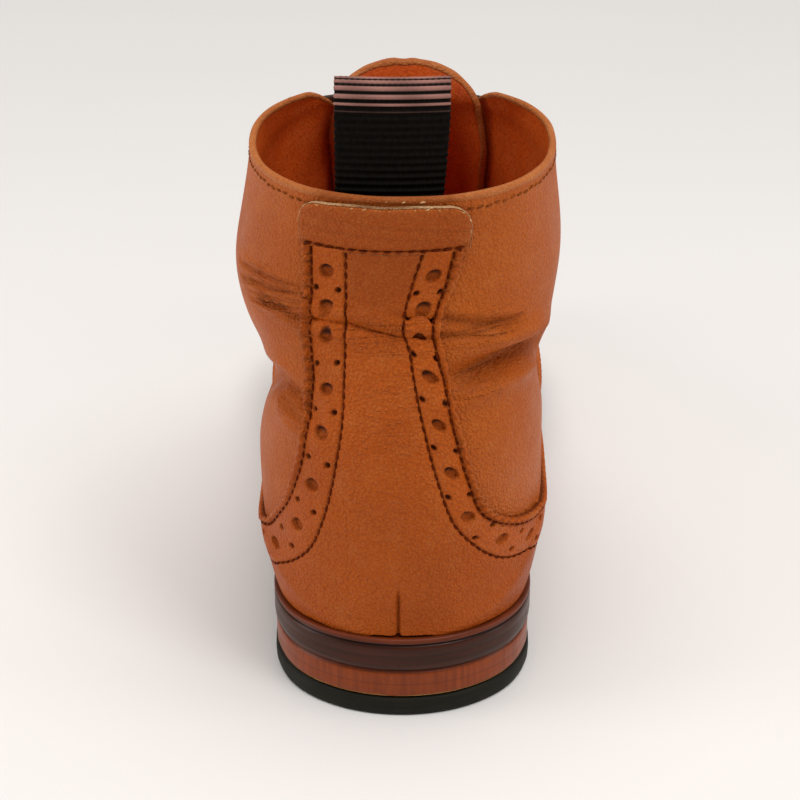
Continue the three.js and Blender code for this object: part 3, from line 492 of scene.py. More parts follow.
def leather(name, base, deep, pale, grain=1.0, rough=0.45, coat=0.04):
    s = Shader(name)
    tone = s.range(s.noise(26, 3), 0.35, 0.65, 0, 0.7)
    color = s.mix(tone, base, deep)
    fleck = s.range(s.noise(170, 5, 0.65), 0.5, 0.8, 0, 0.28)
    color = s.mix(fleck, color, pale)
    pebble = s.cells(1250)
    pores = s.range(pebble, 0.45, 0.85, 0, 0.5)
    color = s.mix(pores, color, deep)
    color = s.mix(s.range(pebble, 0.08, 0.4, 0.3 * grain, 0), color, pale)
    # fine creases: thin lines of a stretched noise, where the wrinkle mask lets them show; they are bumped
    # and darkened with painted shade
    stretched = s.noise(110, 2, 0.45, (0.26, 0.26, 2.6))
    thin = s.range(s.math("ABSOLUTE", s.math("SUBTRACT", stretched, 0.5), 0), 0.0, 0.035, 1, 0)
    finer = s.noise(190, 2, 0.5, (0.34, 0.34, 2.4))
    thinner = s.range(s.math("ABSOLUTE", s.math("SUBTRACT", finer, 0.5), 0), 0.0, 0.04, 0.6, 0)
    lines = s.math("MULTIPLY", s.math("MAXIMUM", thin, thinner), s.mask("wrinkle"))
    color = s.mix(s.math("MULTIPLY", lines, 0.2), color, FINE_CREASE_SHADE_COLOR)
    crease = s.mask("crease")
    # painted shade in crease troughs, stitch grooves and under raised edges, with real browning and streaks
    # on some pieces
    color = s.mix(s.math("MULTIPLY", crease, 0.6), color, SHADE_AND_STAIN_COLOR)
    wear = s.math("MULTIPLY", s.mask("wear"), s.range(s.noise(420, 4, 0.7), 0.35, 0.65, 0.2, 1))
    color = s.mix(wear, color, pale)
    # painted shade: punched holes, eyelet holes and the gaps under raised edges are darkened
    pit = s.mask("pit")
    color = s.mix(pit, color, RECESS_SHADE_COLOR)
    fine = s.noise(2400, 3, 0.6)
    bumpy = s.math("ADD", s.math("MULTIPLY", pebble, -0.7), s.math("MULTIPLY", fine, 0.4))
    normal = s.bump(bumpy, 0.8 * grain, 0.0008)
    normal = s.bump(s.noise(480, 4, 0.6), 0.3 * grain, 0.001, normal)
    normal = s.bump(s.math("MULTIPLY", lines, -1), 0.55, 0.001, normal)
    gloss = s.range(s.noise(60, 4), 0.3, 0.7, rough - 0.07, rough + 0.1)
    gloss = s.math("ADD", gloss, s.math("MULTIPLY", s.math("ADD", crease, pit), 0.3))
    return s.finish(color, gloss, normal, Coat_Weight=coat, Coat_Roughness=0.35, Specular_IOR_Level=0.13)


TAN = rgb(184, 90, 18)
TAN_DEEP = rgb(164, 74, 12)
TAN_PALE = rgb(202, 122, 58)
upper_leather = leather("upper_leather", TAN, TAN_DEEP, TAN_PALE)
overlay_leather = leather("overlay_leather", rgb(184, 84, 9), rgb(160, 68, 5), TAN_PALE, 1.1, 0.4)
lining_leather = leather(
    "lining_leather", rgb(226, 104, 36), rgb(164, 52, 12), rgb(232, 138, 80), 0.3, 0.32, 0.0)
edge_leather = leather(
    "edge_leather", rgb(180, 100, 44), rgb(152, 74, 28), rgb(204, 138, 84), 0.6, 0.5, 0.0)
raw_leather = leather(
    "raw_edge_leather", rgb(206, 160, 112), rgb(168, 112, 66), rgb(226, 192, 150), 1.6, 0.8, 0.0)


def thread(name, color, light):
    s = Shader(name)
    mixed = s.mix(s.range(s.noise(900, 3), 0.35, 0.65, 0, 1), color, light)
    return s.finish(mixed, 0.65, s.bump(s.noise(3800, 2), 0.3, 0.0002), Specular_IOR_Level=0.05)


dark_thread = thread("dark_thread", rgb(64, 17, 2), rgb(104, 36, 6))
brown_thread = thread("brown_thread", rgb(104, 46, 12), rgb(148, 76, 26))
pale_thread = thread("pale_thread", rgb(192, 146, 98), rgb(218, 182, 138))


def sole_paint(name, base, deep, rough, streak, coat=0.0, bump=0.15):
    s = Shader(name)
    lines = s.noise(900, 3, 0.6, streak)
    color = s.mix(s.range(lines, 0.35, 0.7, 0, 1), deep, base)
    scuff = s.range(s.noise(240, 6, 0.75), 0.6, 0.75, 0, 0.35)
    color = s.mix(scuff, color, tuple(min(1, 1.9 * c + 0.01) for c in base[:3]) + (1,))
    # painted shade in the grooves and at the edges of the layers
    color = s.mix(s.mask("crease"), color, tuple(0.35 * c for c in deep[:3]) + (1,))
    glue = s.math("MULTIPLY", s.mask("wear"), s.range(s.noise(160, 4, 0.7), 0.35, 0.6, 0.1, 1))
    color = s.mix(glue, color, GLUE_COLOR)
    normal = s.bump(s.math("ADD", lines, s.noise(1500, 3)), bump, 0.0004)
    gloss = s.range(s.noise(120, 4), 0.3, 0.7, rough - 0.06, rough + 0.1)
    return s.finish(color, gloss, normal, Coat_Weight=coat, Coat_Roughness=0.25, Specular_IOR_Level=0.2)


LENGTHWISE, UPRIGHT = (0.06, 0.06, 1.0), (0.9, 0.9, 0.07)  # the run of the streaks
sole_edge = sole_paint("sole_edge", rgb(68, 26, 4), rgb(46, 16, 2), 0.34, LENGTHWISE, 0.06, 0.05)
stack_leather = sole_paint("stack_leather", rgb(142, 60, 10), rgb(120, 48, 6), 0.34, UPRIGHT, 0.1, 0.1)
welt_leather = sole_paint("welt_leather", rgb(112, 46, 14), rgb(80, 30, 8), 0.45, LENGTHWISE, 0.06)
rubber = sole_paint("top_piece_rubber", rgb(28, 25, 10), rgb(18, 16, 6), 0.62, LENGTHWISE, 0.0, 0.1)


def webbing():
    s = Shader("webbing")
    ribs = s.noise(1400, 2, 0.5, (1, 1, 0.3))
    color = s.mix(s.range(ribs, 0.4, 0.7, 0, 1), rgb(6, 3, 1), rgb(16, 9, 4))
    # painted highlight: rib tops near the top of the loop, lit from above
    color = s.mix(s.mask("wear"), color, rgb(158, 112, 102))
    return s.finish(color, 0.7, s.bump(ribs, 0.35, 0.0004), Specular_IOR_Level=0.08)


def metal():
    s = Shader("eyelet_metal")
    color = s.mix(s.range(s.noise(500, 3), 0.4, 0.6, 0, 1), rgb(88, 68, 44), rgb(58, 44, 28))
    # painted shade inside the eyelet's hole
    color = s.mix(s.mask("pit"), color, rgb(12, 8, 6))
    return s.finish(color, s.range(s.noise(900, 3), 0.3, 0.7, 0.28, 0.45), None, Metallic=0.9)


def cord_cloth():
    s = Shader("lace_cord")
    weave = s.cells(1500)
    color = s.mix(s.range(weave, 0.2, 0.6, 0, 1), rgb(40, 26, 19), rgb(74, 52, 40))
    return s.finish(color, 0.75, s.bump(weave, 0.6, 0.0005), Sheen_Weight=0.2)


webbing_cloth = webbing()
eyelet_metal = metal()
lace_cord = cord_cloth()


# Creases of the shaft: bearing in degrees and height in millimetres, then depth and width
RIDGE_AWAY, RIDGE_WIDTH, TROUGH_WIDTH = 1.9, 1.1, 0.62  # in widths of the crease
FAN_SHIFT = 2.5  # degrees by which a fine crease wanders
FAN_RIDGE = 0.55


def crease_field(theta, z):
    """How far the creases press the leather in, and a mask of their troughs for painted shade."""
    push = np.zeros(theta.shape)
    trough = np.zeros(theta.shape)

    def stroke(line, depth, width, ridge, mask):
        nonlocal push, trough
        best = np.full(theta.shape, 1e9)
        fade = np.zeros(theta.shape)
        whole = sum(math.dist(a, b) for a, b in zip(line[:-1], line[1:]))
        gone = 0.0
        for (t0, z0), (t1, z1) in zip(line[:-1], line[1:]):
            run = np.array([(t1 - t0) * DEGREE_MM, z1 - z0])
            length = np.hypot(*run)
            rel_t, rel_z = (theta - t0) * DEGREE_MM, z - z0
            t = np.clip((rel_t * run[0] + rel_z * run[1]) / length**2, 0, 1)
            away = np.hypot(rel_t - t * run[0], rel_z - t * run[1])
            closer = away < best
            here = (gone + t * math.dist((t0, z0), (t1, z1))) / whole
            best = np.where(closer, away, best)
            fade = np.where(closer, np.sin(np.pi * np.clip(0.06 + 0.88 * here, 0, 1)) ** 0.7, fade)
            gone += math.dist((t0, z0), (t1, z1))
        raised = bell(best - RIDGE_AWAY * width, RIDGE_WIDTH * width)
        push = push + fade * depth * (ridge * raised - bell(best, width))
        trough = np.maximum(trough, fade * mask * bell(best, TROUGH_WIDTH * width))

    def fan(first, last, count, depth, width, jitter, mask):
        """Fine creases between two lines of the same number of points."""
        first, last = np.array(first, float), np.array(last, float)
        for k in range(count):
            t = (k + dice.uniform(-0.25, 0.25)) / max(1, count - 1)
            line = first + (last - first) * t
            line = line + dice.uniform(-1, 1, line.shape) * np.array([FAN_SHIFT, jitter])
            start, end = dice.uniform(0, 0.22), dice.uniform(0.78, 1)
            tips = line[0] + (line[1] - line[0]) * start, line[-2] + (line[-1] - line[-2]) * end
            cut = [tuple(p) for p in (tips[0], *line[1:-1], tips[1])]
            stroke(cut, depth * dice.uniform(0.6, 1.2), width * dice.uniform(0.8, 1.2), FAN_RIDGE, mask)

    # left: a fan of creases from the side to the strap
    upper_line = [(-76, 118), (-54, 120), (-33, 120)]
    fan(upper_line, [(-60, 110), (-43, 112), (-27, 113.5)], 13, 0.55, 0.62, 0.5, 0.18)
    fan([(-70, 119), (-58, 119), (-46, 119)], [(-66, 110), (-54, 112), (-42, 112.5)], 5, 0.45, 0.8, 0.5, 0.15)
    main_line = [(-46, 112.6), (-35, 111.2), (-27, 112.4), (-17, 112.2), (-9, 110.5), (0, 109)]
    stroke(main_line, 1.4, 1.4, 0.6, 0.6)
    fan([(-17, 113), (-8, 111), (1, 109.6)], [(-13, 108.5), (-4, 107), (4, 106)], 5, 0.65, 0.8, 0.4, 0.6)
    # across and beyond the right strap
    stroke([(-3, 114.4), (5, 114.2), (12, 113.4), (25, 110.6), (42, 108.9)], 1.3, 1.3, 0.6, 0.6)
    stroke([(-1, 109), (6, 108.5), (13, 108.4), (26, 108.2)], 0.8, 1.3, 0.6, 0.6)
    fan([(9, 113), (24, 110.8), (44, 109.6)], [(9, 109.5), (24, 107.6), (38, 106.8)], 5, 0.5, 0.8, 0.4, 0.3)
    # under the pouches
    stroke([(14, 96.6), (27, 98.6), (38, 99.0), (52, 98.4), (66, 96)], 4.1, 3.0, 0.6, 0.45)
    fan([(13, 96), (24, 97.6), (36, 97.4)], [(13, 91), (24, 92.5), (35, 93)], 5, 0.6, 0.9, 0.5, 0.5)
    stroke([(-74, 82), (-60, 87), (-49, 88.6), (-36, 87.4), (-28, 85.6)], 2.5, 3.2, 0.5, 0.12)
    fan([(-54, 89.4), (-42, 88.6), (-30, 87)], [(-46, 82), (-37, 81.5), (-28, 80)], 6, 0.4, 0.8, 0.5, 0.15)
    # lower, on the counter
    fan([(-14, 88), (-5, 87), (4, 86)], [(-10, 80), (-2, 79), (5, 78)], 4, 0.16, 1.1, 0.8, 0.2)
    return push, trough


def bearing(points):
    return np.degrees(np.arctan2(points[..., 0], POST_Y - points[..., 1]))


# zones of fine creases: middle bearing and height, half widths, strength
WRINKLE_ZONES = [
    (-52, 115, 25, 7.5, 0.8), (-34, 113, 10, 6, 1.0), (-5, 109, 16, 6, 0.9), (25, 109.5, 20, 4.5, 0.9),
    (24, 94.5, 12, 5, 0.6), (-40, 85.5, 13, 6, 0.55), (-3, 92, 11, 9, 0.35), (52, 99, 16, 4, 0.5),
    (-70, 92, 12, 9, 0.4), (0, 72, 22, 18, 0.12),
]


def wrinkle_mask(points):
    theta, z = bearing(points), points[..., 2]
    made = np.zeros(z.shape)
    for middle_theta, middle_z, wide, tall, strength in WRINKLE_ZONES:
        away = ((theta - middle_theta) / wide) ** 2 + ((z - middle_z) / tall) ** 2
        made = np.maximum(made, strength * np.exp(-(away**1.5)))
    on_vamp = np.exp(-(((points[..., 1] - 193) / 17) ** 2)) * smooth(20, 34, z) * (1 - smooth(70, 90, z))
    return np.maximum(made, 0.7 * on_vamp)


# across the vamp: place along the sole, bow and depth
VAMP_CREASES = [(196, 0.010, 1.0), (189, 0.012, 0.8), (203, 0.008, 0.7), (182, 0.013, 0.5)]
VAMP_CREASE_WIDTH, VAMP_REACH = 2.3, 44


def vamp_creases(points):
    y, x = points[..., 1], points[..., 0] - middle(points[..., 1])
    push = np.zeros(y.shape)
    trough = np.zeros(y.shape)
    fade = np.exp(-((x / VAMP_REACH) ** 4))
    for k, (where, bow, depth) in enumerate(VAMP_CREASES):
        off = (y - (where - bow * x * x + 1.4 * np.sin(x / 9 + k))) / VAMP_CREASE_WIDTH
        push += fade * depth * (0.5 * bell(off - 1.8, 1) + 0.4 * bell(off + 1.8, 1) - bell(off, 1))
        trough = np.maximum(trough, 0.35 * fade * depth * bell(off, 0.6))
    return push, trough


def relief(points):
    theta = bearing(points)
    y, z = points[..., 1], points[..., 2]
    shaft = smooth(62, 74, z) * (1 - smooth(80, 105, y))
    near = shaft > 0.001
    push, trough = np.zeros(y.shape), np.zeros(y.shape)
    state = dice.bit_generator.state
    made = crease_field(theta[near], z[near])
    dice.bit_generator.state = state
    push[near], trough[near] = made[0] * shaft[near], made[1] * shaft[near]
    on_vamp = (y > 165) & (y < 220) & (z > 25)
    made = vamp_creases(points[on_vamp])
    push[on_vamp] += made[0]
    trough[on_vamp] = np.maximum(trough[on_vamp], made[1])
    wave = np.sin(y / 17 + z / 23) * np.sin(z / 13 - y / 31) + 0.5 * np.sin(y / 7.3 + 1.3) * np.sin(z / 8.1)
    push += 0.18 * wave * smooth(30, 60, z)
    return push, trough


# The upper
rows_at = np.concatenate([
    np.linspace(0, THROAT_START, 60, endpoint=False),
    np.linspace(THROAT_START, HEEL_CORNER, 54, endpoint=False),
    np.linspace(HEEL_CORNER, 1, 166),
])
columns_up = np.linspace(0, 1, 108)
RIM_BEAD = 0.95, 0.72  # its stretch outwards and how far it sits in
FACING_MM = 53.0  # of the facing's edge for one unit of the fan, near its top corner
LAYER_STEP = 0.004
RIM_THINNING = 0.34


def rounded_at(side, at, up):
    """Rounds the facing's top corner: rows near the collar run lower beside the facing."""
    fine = np.linspace(0, 1, 400)
    run = run_of(face(side, np.ones(400), fine)[::-1])[::-1]
    short = np.maximum(0, CORNER_RADIUS - np.interp(up, fine, run))
    drop = CORNER_RADIUS - np.sqrt(CORNER_RADIUS**2 - short**2)
    return at - drop / FACING_MM * smooth(0.6, 1, at)


def skin(side, rows, columns, depth=0.0):
    """The form, or a layer at this depth from it that follows the creases."""
    at, up = np.meshgrid(rows, columns, indexing="ij")
    near_rim = np.maximum(smooth(0.93, 1, at), smooth(0.95, 1, up) * smooth(0.37, 0.4, at))
    at = rounded_at(side, at, up)
    base = face(side, at, up)
    if not depth:
        return base
    depth = (depth * (1 - RIM_THINNING * near_rim))[..., None]
    du = face(side, at, np.minimum(1, up + LAYER_STEP)) - face(side, at, np.maximum(0, up - LAYER_STEP))
    da = face(side, np.minimum(1, at + LAYER_STEP), up) - face(side, np.maximum(1e-4, at - LAYER_STEP), up)
    out = unit(np.cross(du, da) * side)
    moved = base + out * (depth + np.minimum(0, relief(base)[0])[..., None])
    moved[..., 2] = np.maximum(moved[..., 2], welt_top(moved[..., 1]) + GAP)
    meet = (up == 0) & (at >= HEEL_CORNER) | (up == 1) & (at <= THROAT_START)
    centre = np.where(at >= HEEL_CORNER, 0, base[..., 0])
    moved[..., 0] = np.where(meet, centre, moved[..., 0])
    return moved


def shell_normals(grids):
    """Normals of the two halves, shared where they meet."""
    flat = np.concatenate([g.reshape(-1, 3) for g in grids])
    first, back = merged(flat, WELD)
    rows, columns = grids[0].shape[:2]
    total = np.zeros((len(first), 3))
    for k in range(2):
        quads = grid_faces(rows, columns, k * rows * columns, flip=(k == 0))
        p = flat[quads]
        area = np.cross(p[:, 2] - p[:, 0], p[:, 3] - p[:, 1])
        for c in range(4):
            np.add.at(total, back[quads[:, c]], area)
    return unit(total)[back].reshape(2, rows, columns, 3)


outer = np.stack([skin(side, rows_at, columns_up) for side in (-1, 1)])
outward = shell_normals(outer)
if np.mean(outward[0][:, 50, 0]) > 0:
    outward = -outward
feather_fade = np.where(rows_at[:, None] < HEEL_CORNER, smooth(0, 0.02, columns_up)[None, :], 1)
reliefs = [relief(form) for form in outer]
pressed = np.stack([outer[k] + outward[k] * (reliefs[k][0] * feather_fade)[..., None] for k in range(2)])

upper = Piece("upper", ("crease", "wear", "pit", "wrinkle"))
for k in range(2):
    # painted shade in the crease troughs
    upper.grid(pressed[k], flip=(k == 0), crease=reliefs[k][1], wrinkle=wrinkle_mask(outer[k]))
inner_rows = np.concatenate([np.linspace(0, 0.6, 60, endpoint=False), np.linspace(0.6, 1, 50)])
foot_rows = rows_at[rows_at <= HEEL_CORNER]
for k, side in enumerate((-1, 1)):
    upper.grid(skin(side, inner_rows, np.linspace(0, 1, 60), -WALL), flip=(k == 1), kind=1)
    foot_edges = [skin(side, foot_rows, [0.0], depth) for depth in (0.0, -WALL)]
    upper.grid(np.concatenate(foot_edges, axis=1), flip=(k == 1), kind=1)

# The rolled rim of the collar and the facings
throat_rows = np.where(rows_at >= THROAT_START)[0]


def rim_line(halves):
    """Up one facing from the foot of the gap, round the collar and down the other facing."""
    left, right = (np.concatenate([half[throat_rows, -1], half[-1, ::-1][1:]]) for half in halves)
    return np.concatenate([left, right[::-1][1:]])


def sweep(path, out, outline):
    """Rings round a path: each outline point is (along the way out, across it)."""
    across = unit(np.cross(unit(np.gradient(path, axis=0)), out))
    rings = []
    for a, b in outline:
        a = np.broadcast_to(a, len(path))[:, None]
        b = np.broadcast_to(b, len(path))[:, None]
        rings.append(path + out * a + across * b)
    return np.stack(rings, axis=1)


rim, rim_out = resampled(rim_line(pressed), rim_line(outward), step=0.9)
rim_run = run_of(rim)
rim_end = np.minimum(rim_run, rim_run[-1] - rim_run)
wobble = 0.12 * np.sin(rim_run / 3.1) + 0.1 * np.sin(rim_run / 7.7 + 1)
thick = 0.3 + 0.62 * smooth(0, 12, rim_end) + 0.12 * smooth(100, 118, rim_end) + 0.25 * wobble
bead_ring = [(RIM_BEAD[0] * thick * math.cos(t) - RIM_BEAD[1], thick * math.sin(t)) for t in circle(14)]
rim_back = smooth(-24, -19, rim[:, 0]) * (1 - smooth(11, 16, rim[:, 0])) * (rim[:, 1] < 60)
rim_wear, rim_dark = (0.25 * (1 - rim_back))[:, None], (0.5 * rim_back)[:, None]
upper.grid(sweep(rim, rim_out, bead_ring), closed=True, kind=2, wear=rim_wear, crease=rim_dark)
upper.build([upper_leather, lining_leather, edge_leather], ["upper"])


# Stitching: each stitch is a short twisted pill
STITCH_GROOVE = 0.5  # half width of the dent along a row
STITCH_STEP, FIRST_STITCH = 0.25, 0.5
STITCH_LIFT = 0.15
STITCH_TWIST = 0.12
STITCH_SUNK = 0.28
STITCH_SHARES = (0.0, 0.12, 0.35, 0.65, 0.88, 1.0)  # of its length, where its rings are
NEAT = {"pitch": 2.6, "length": 2.0}
stitches = {"dark": [], "brown": [], "pale": []}


def stitch_row(path, out, kind="dark", pitch=2.7, length=2.2, radius=0.32, wander=0.06, seed=1):
    path, out = resampled(np.asarray(path), np.asarray(out), step=STITCH_STEP)
    run = run_of(path)
    rng = np.random.default_rng(seed)
    for start in np.arange(FIRST_STITCH, run[-1] - length, pitch):
        a, b = read(run, path, start), read(run, path, start + length)
        up = read(run, out, start + length / 2)
        aside = unit(np.cross(unit(b - a), up))
        slip = rng.uniform(-wander, wander, 2)
        ends = a + aside * (slip[0] + STITCH_TWIST), b + aside * (slip[1] - STITCH_TWIST)
        stitches[kind].append((*ends, unit(up), radius, STITCH_LIFT))


def build_stitches(name, kind, material):
    piece = Piece(name)
    for a, b, up, radius, lift in stitches[kind]:
        forward = unit(b - a)
        aside = unit(np.cross(forward, up))
        up = unit(np.cross(aside, forward))
        rings = []
        for t in STITCH_SHARES:
            wide = radius * (0.25 + 0.75 * math.sin(math.pi * t) ** 0.5)
            centre = a + (b - a) * t + up * (lift * math.sin(math.pi * t) - STITCH_SUNK)
            rings.append([centre + aside * wide * math.cos(u) + up * wide * math.sin(u) for u in circle(6)])
        piece.grid(np.array(rings), closed=True)
    piece.build([material], merge=FINE_WELD)


# The collar's stitching, and three rows down each facing
COLLAR_INSET = 2.2
FACING_INSETS = (3.0, 16.5, 18.6)
worn_rim = rim[rim_back > 0.5]
stitch_row(worn_rim + np.array([0, 0, 0.25]), np.tile((0, -0.5, 0.87), (len(worn_rim), 1)), "pale",
           pitch=4.3, length=1.5, radius=0.2, wander=0.5, seed=44)
for k in range(2):
    grid, out = pressed[k], outward[k]
    keep = np.arange(columns_up.size - 5)
    below = [len(rows_at) - 1 - np.searchsorted(run_of(grid[::-1, j]), COLLAR_INSET) for j in keep]
    stitch_row(grid[below, keep], out[below, keep], "brown", 2.6, 2.5, 0.5, wander=0.35, seed=3 + k)
    for row, inset in enumerate(FACING_INSETS):
        path, normal = [], []
        for i in throat_rows[3:-6]:
            run = run_of(grid[i, ::-1])
            before = np.searchsorted(run, inset)
            j = columns_up.size - 1 - before
            t = (inset - run[before - 1]) / (run[before] - run[before - 1])
            path.append(grid[i, j + 1] * (1 - t) + grid[i, j] * t)
            normal.append(out[i, j])
        stitch_row(path, normal, **NEAT, radius=0.3, seed=11 + row + k)

# A map from bearing and height to the pressed leather
SHAFT_RADIUS, BEHIND_Y, BACK_Y = 45, -60, 20.0
sheet = grid_faces(*pressed.shape[1:3])
sheets = np.concatenate([sheet, sheet + pressed.shape[1] * pressed.shape[2]])
tree = BVHTree.FromPolygons(pressed.reshape(-1, 3).tolist(), sheets.tolist())


def on_upper(theta, z):
    theta, z = np.broadcast_arrays(np.asarray(theta, float), np.asarray(z, float))
    made = np.empty(theta.shape + (3,))
    flat = made.reshape(-1, 3)
    for i, (t, h) in enumerate(zip(np.radians(theta).ravel().tolist(), z.ravel().tolist())):
        post = Vector((0, POST_Y, h))
        way = Vector((math.sin(t), -math.cos(t), 0))
        hit = tree.ray_cast(post, way)[0]
        flat[i] = tree.find_nearest(post + way * SHAFT_RADIUS)[0] if hit is None else hit
    return made


def at_bearing(x, y, z):
    """The bearing of a point; a y of None is found from behind."""
    if y is None:
        hit = tree.ray_cast(Vector((x, BEHIND_Y, z)), Vector((0, 1, 0)))[0]
        y = hit[1] if hit is not None else BACK_Y
    return math.degrees(math.atan2(x, POST_Y - y))


def chart_line(rows):
    return np.array([(at_bearing(x, y, z), z) for x, y, z in rows])


def charted(guide, lines, count):
    """Smooth lines through chart points, at stations spaced evenly along the guide."""
    keys = run_of(guide * (DEGREE_MM, 1))
    t = np.linspace(0, keys[-1], count)
    return [np.stack([hermite(keys, line[:, 0], t), hermite(keys, line[:, 1], t)], -1) for line in lines]


# The straps of the counter: outer line, inner line and the wing's foot, as (x, y, z)
LEFT_OUTER = [
    (-23.8, None, 132), (-24.1, None, 120), (-24.8, None, 109), (-23.9, None, 93), (-24.6, None, 84),
    (-26.6, None, 74), (-29.6, None, 63), (-31.8, 20, 56), (-35.4, 28, 48), (-40.4, 45, 44.4),
    (-43, 72, 43.4), (-42, 99, 42), (-43, 120, 37), (-44, 135, 28), (-45, 144, 19), (-45, 148.5, 13),
]
LEFT_INNER = [
    (-13.5, None, 132), (-13.6, None, 120), (-13.7, None, 111), (-14.1, None, 94.7), (-15, None, 84),
    (-17, None, 71), (-19.9, None, 58), (-24.3, 10.5, 46.5), (-31.8, 20, 37.7), (-39.2, 38, 31.5),
    (-42, 68, 31), (-41, 94, 29.6), (-42, 113, 25.8), (-43, 124, 20.5), (-43, 130, 16.5), (-43, 134, 13.6),
]
LEFT_FOOT = [
    (-1, None, 25.2), (-22, 8, 25), (-34, 30, 25), (-36, 60, 24.8), (-38, 85, 22), (-39, 103, 18.4),
    (-40, 115, 16), (-41, 124, 14.6),
]
RIGHT_OUTER = [
    (14.8, None, 132), (12.4, None, 121.5), (9.6, None, 112), (11, None, 102), (12.7, None, 93),
    (15.5, None, 81), (18.6, None, 69), (22.6, None, 59), (27.8, 24, 52), (33.2, 34, 49.6),
    (38.2, 45, 51.5), (42.1, 60, 55.4), (42, 87, 57.6), (42, 108, 53.4), (42, 126, 43.2), (43, 138, 30),
    (44, 145.5, 18), (44, 148.5, 12.4),
]
RIGHT_INNER = [
    (5.1, None, 132), (2, None, 121), (0.3, None, 113), (1.9, None, 104.5), (3.4, None, 96),
    (5.6, None, 84), (9, None, 70.5), (14, None, 56.5), (23, 13.5, 44.5), (31.5, 24.5, 40.4),
    (38.2, 42, 39.6), (41, 60, 43), (41, 84, 45.6), (41, 101, 42), (42, 114, 34.5), (43, 123, 25),
    (43, 129, 18), (43, 132, 13.9),
]
RIGHT_FOOT = [
    (-1, None, 25.2), (22, 8, 25), (34, 32, 25), (36, 60, 24.8), (37, 84, 22), (38, 100, 19),
    (39, 110, 17), (40, 118, 15.6), (41, 124, 14.6),
]
# large holes, in millimetres down the strap's middle
LEFT_PUNCHES = [6.3, 15.9, 25.1, 40.2, 52.1, 66.9, 81.7, 96.3, 109]
RIGHT_PUNCHES = [6.9, 16.1, 24.5, 35.7, 48.6, 62.1, 76.2, 91.3, 105.4, 117.2]
BIG_PITCH = 12.3
BIG_RADIUS = 1.85
SMALL_RADIUS = 0.78
SMALL_OFFSET = 2.9


def punches(run, across_mm, centres, z=None):
    """Depth of the holes and the painted shade in them, where heights are given darker on the upper side of
    the large ones: large ones on the middle line, pairs of small ones between.
    """
    depth = np.zeros(across_mm.shape)
    dark = np.zeros(across_mm.shape)
    run = np.broadcast_to(run[:, None], across_mm.shape)
    between = [(a + b) / 2 for a, b in zip(centres[:-1], centres[1:])]
    holes = [(c, 0.0, BIG_RADIUS) for c in centres]
    holes += [(c, offset, SMALL_RADIUS) for c in between for offset in (-SMALL_OFFSET, SMALL_OFFSET)]
    for centre, offset, radius in holes:
        away = np.hypot(run - centre, across_mm - offset)
        pressed_in = 1 - smooth(radius - 0.35, radius + 0.2, away)
        depth = np.maximum(depth, pressed_in)
        shade = 0.85 * pressed_in
        if z is not None and not offset:
            nearest = np.unravel_index(np.argmin(away), away.shape)
            above = (z - z[nearest]) / radius + 0.25 * smooth(0.6, 1.0, away / radius)
            shade = pressed_in * (0.16 + 0.84 * smooth(0.0, 0.75, above))
        dark = np.maximum(dark, shade)
    return depth, dark


COUNTER_STATIONS = 560
AXIS_CORNER = 236  # station where the heel's middle line meets the sole
STRAP_TOP, FOOT_Z = 132, 25.2
EDGE_SHARE = 0.94  # of the strap, inside the source's edge
OUTER_ROW = 1.5  # of the outer stitches from the edge
TOOTH_PITCH = 3.3
LOOPS_LOW, LOOPS_FULL = 58, 80  # heights from which loops of thread lie over the teeth
STRAP_FADE = 36, 62  # heights between which the edge's relief grows
SEAM_X, SEAM_TOP = -1, (36, 41)
counter = Piece("counter", ("crease", "wear", "pit", "wrinkle"))


def heel_axis(foot_line):
    """Down the heel's middle, the same for both halves, then along the feather line to the wing's tip."""
    z = np.linspace(STRAP_TOP, FOOT_Z, AXIS_CORNER + 1)
    x = np.interp(z, (25, 48, 80, 110, 132), (-1, -1, -3, -4.5, -4))
    down = np.array([(at_bearing(a, None, b), b) for a, b in zip(x, z)])
    down[:, 0] = evened(down[:, 0], 6)
    rest = chart_line(foot_line)
    return np.concatenate([down, charted(rest, [rest], COUNTER_STATIONS - AXIS_CORNER)[0][1:]])


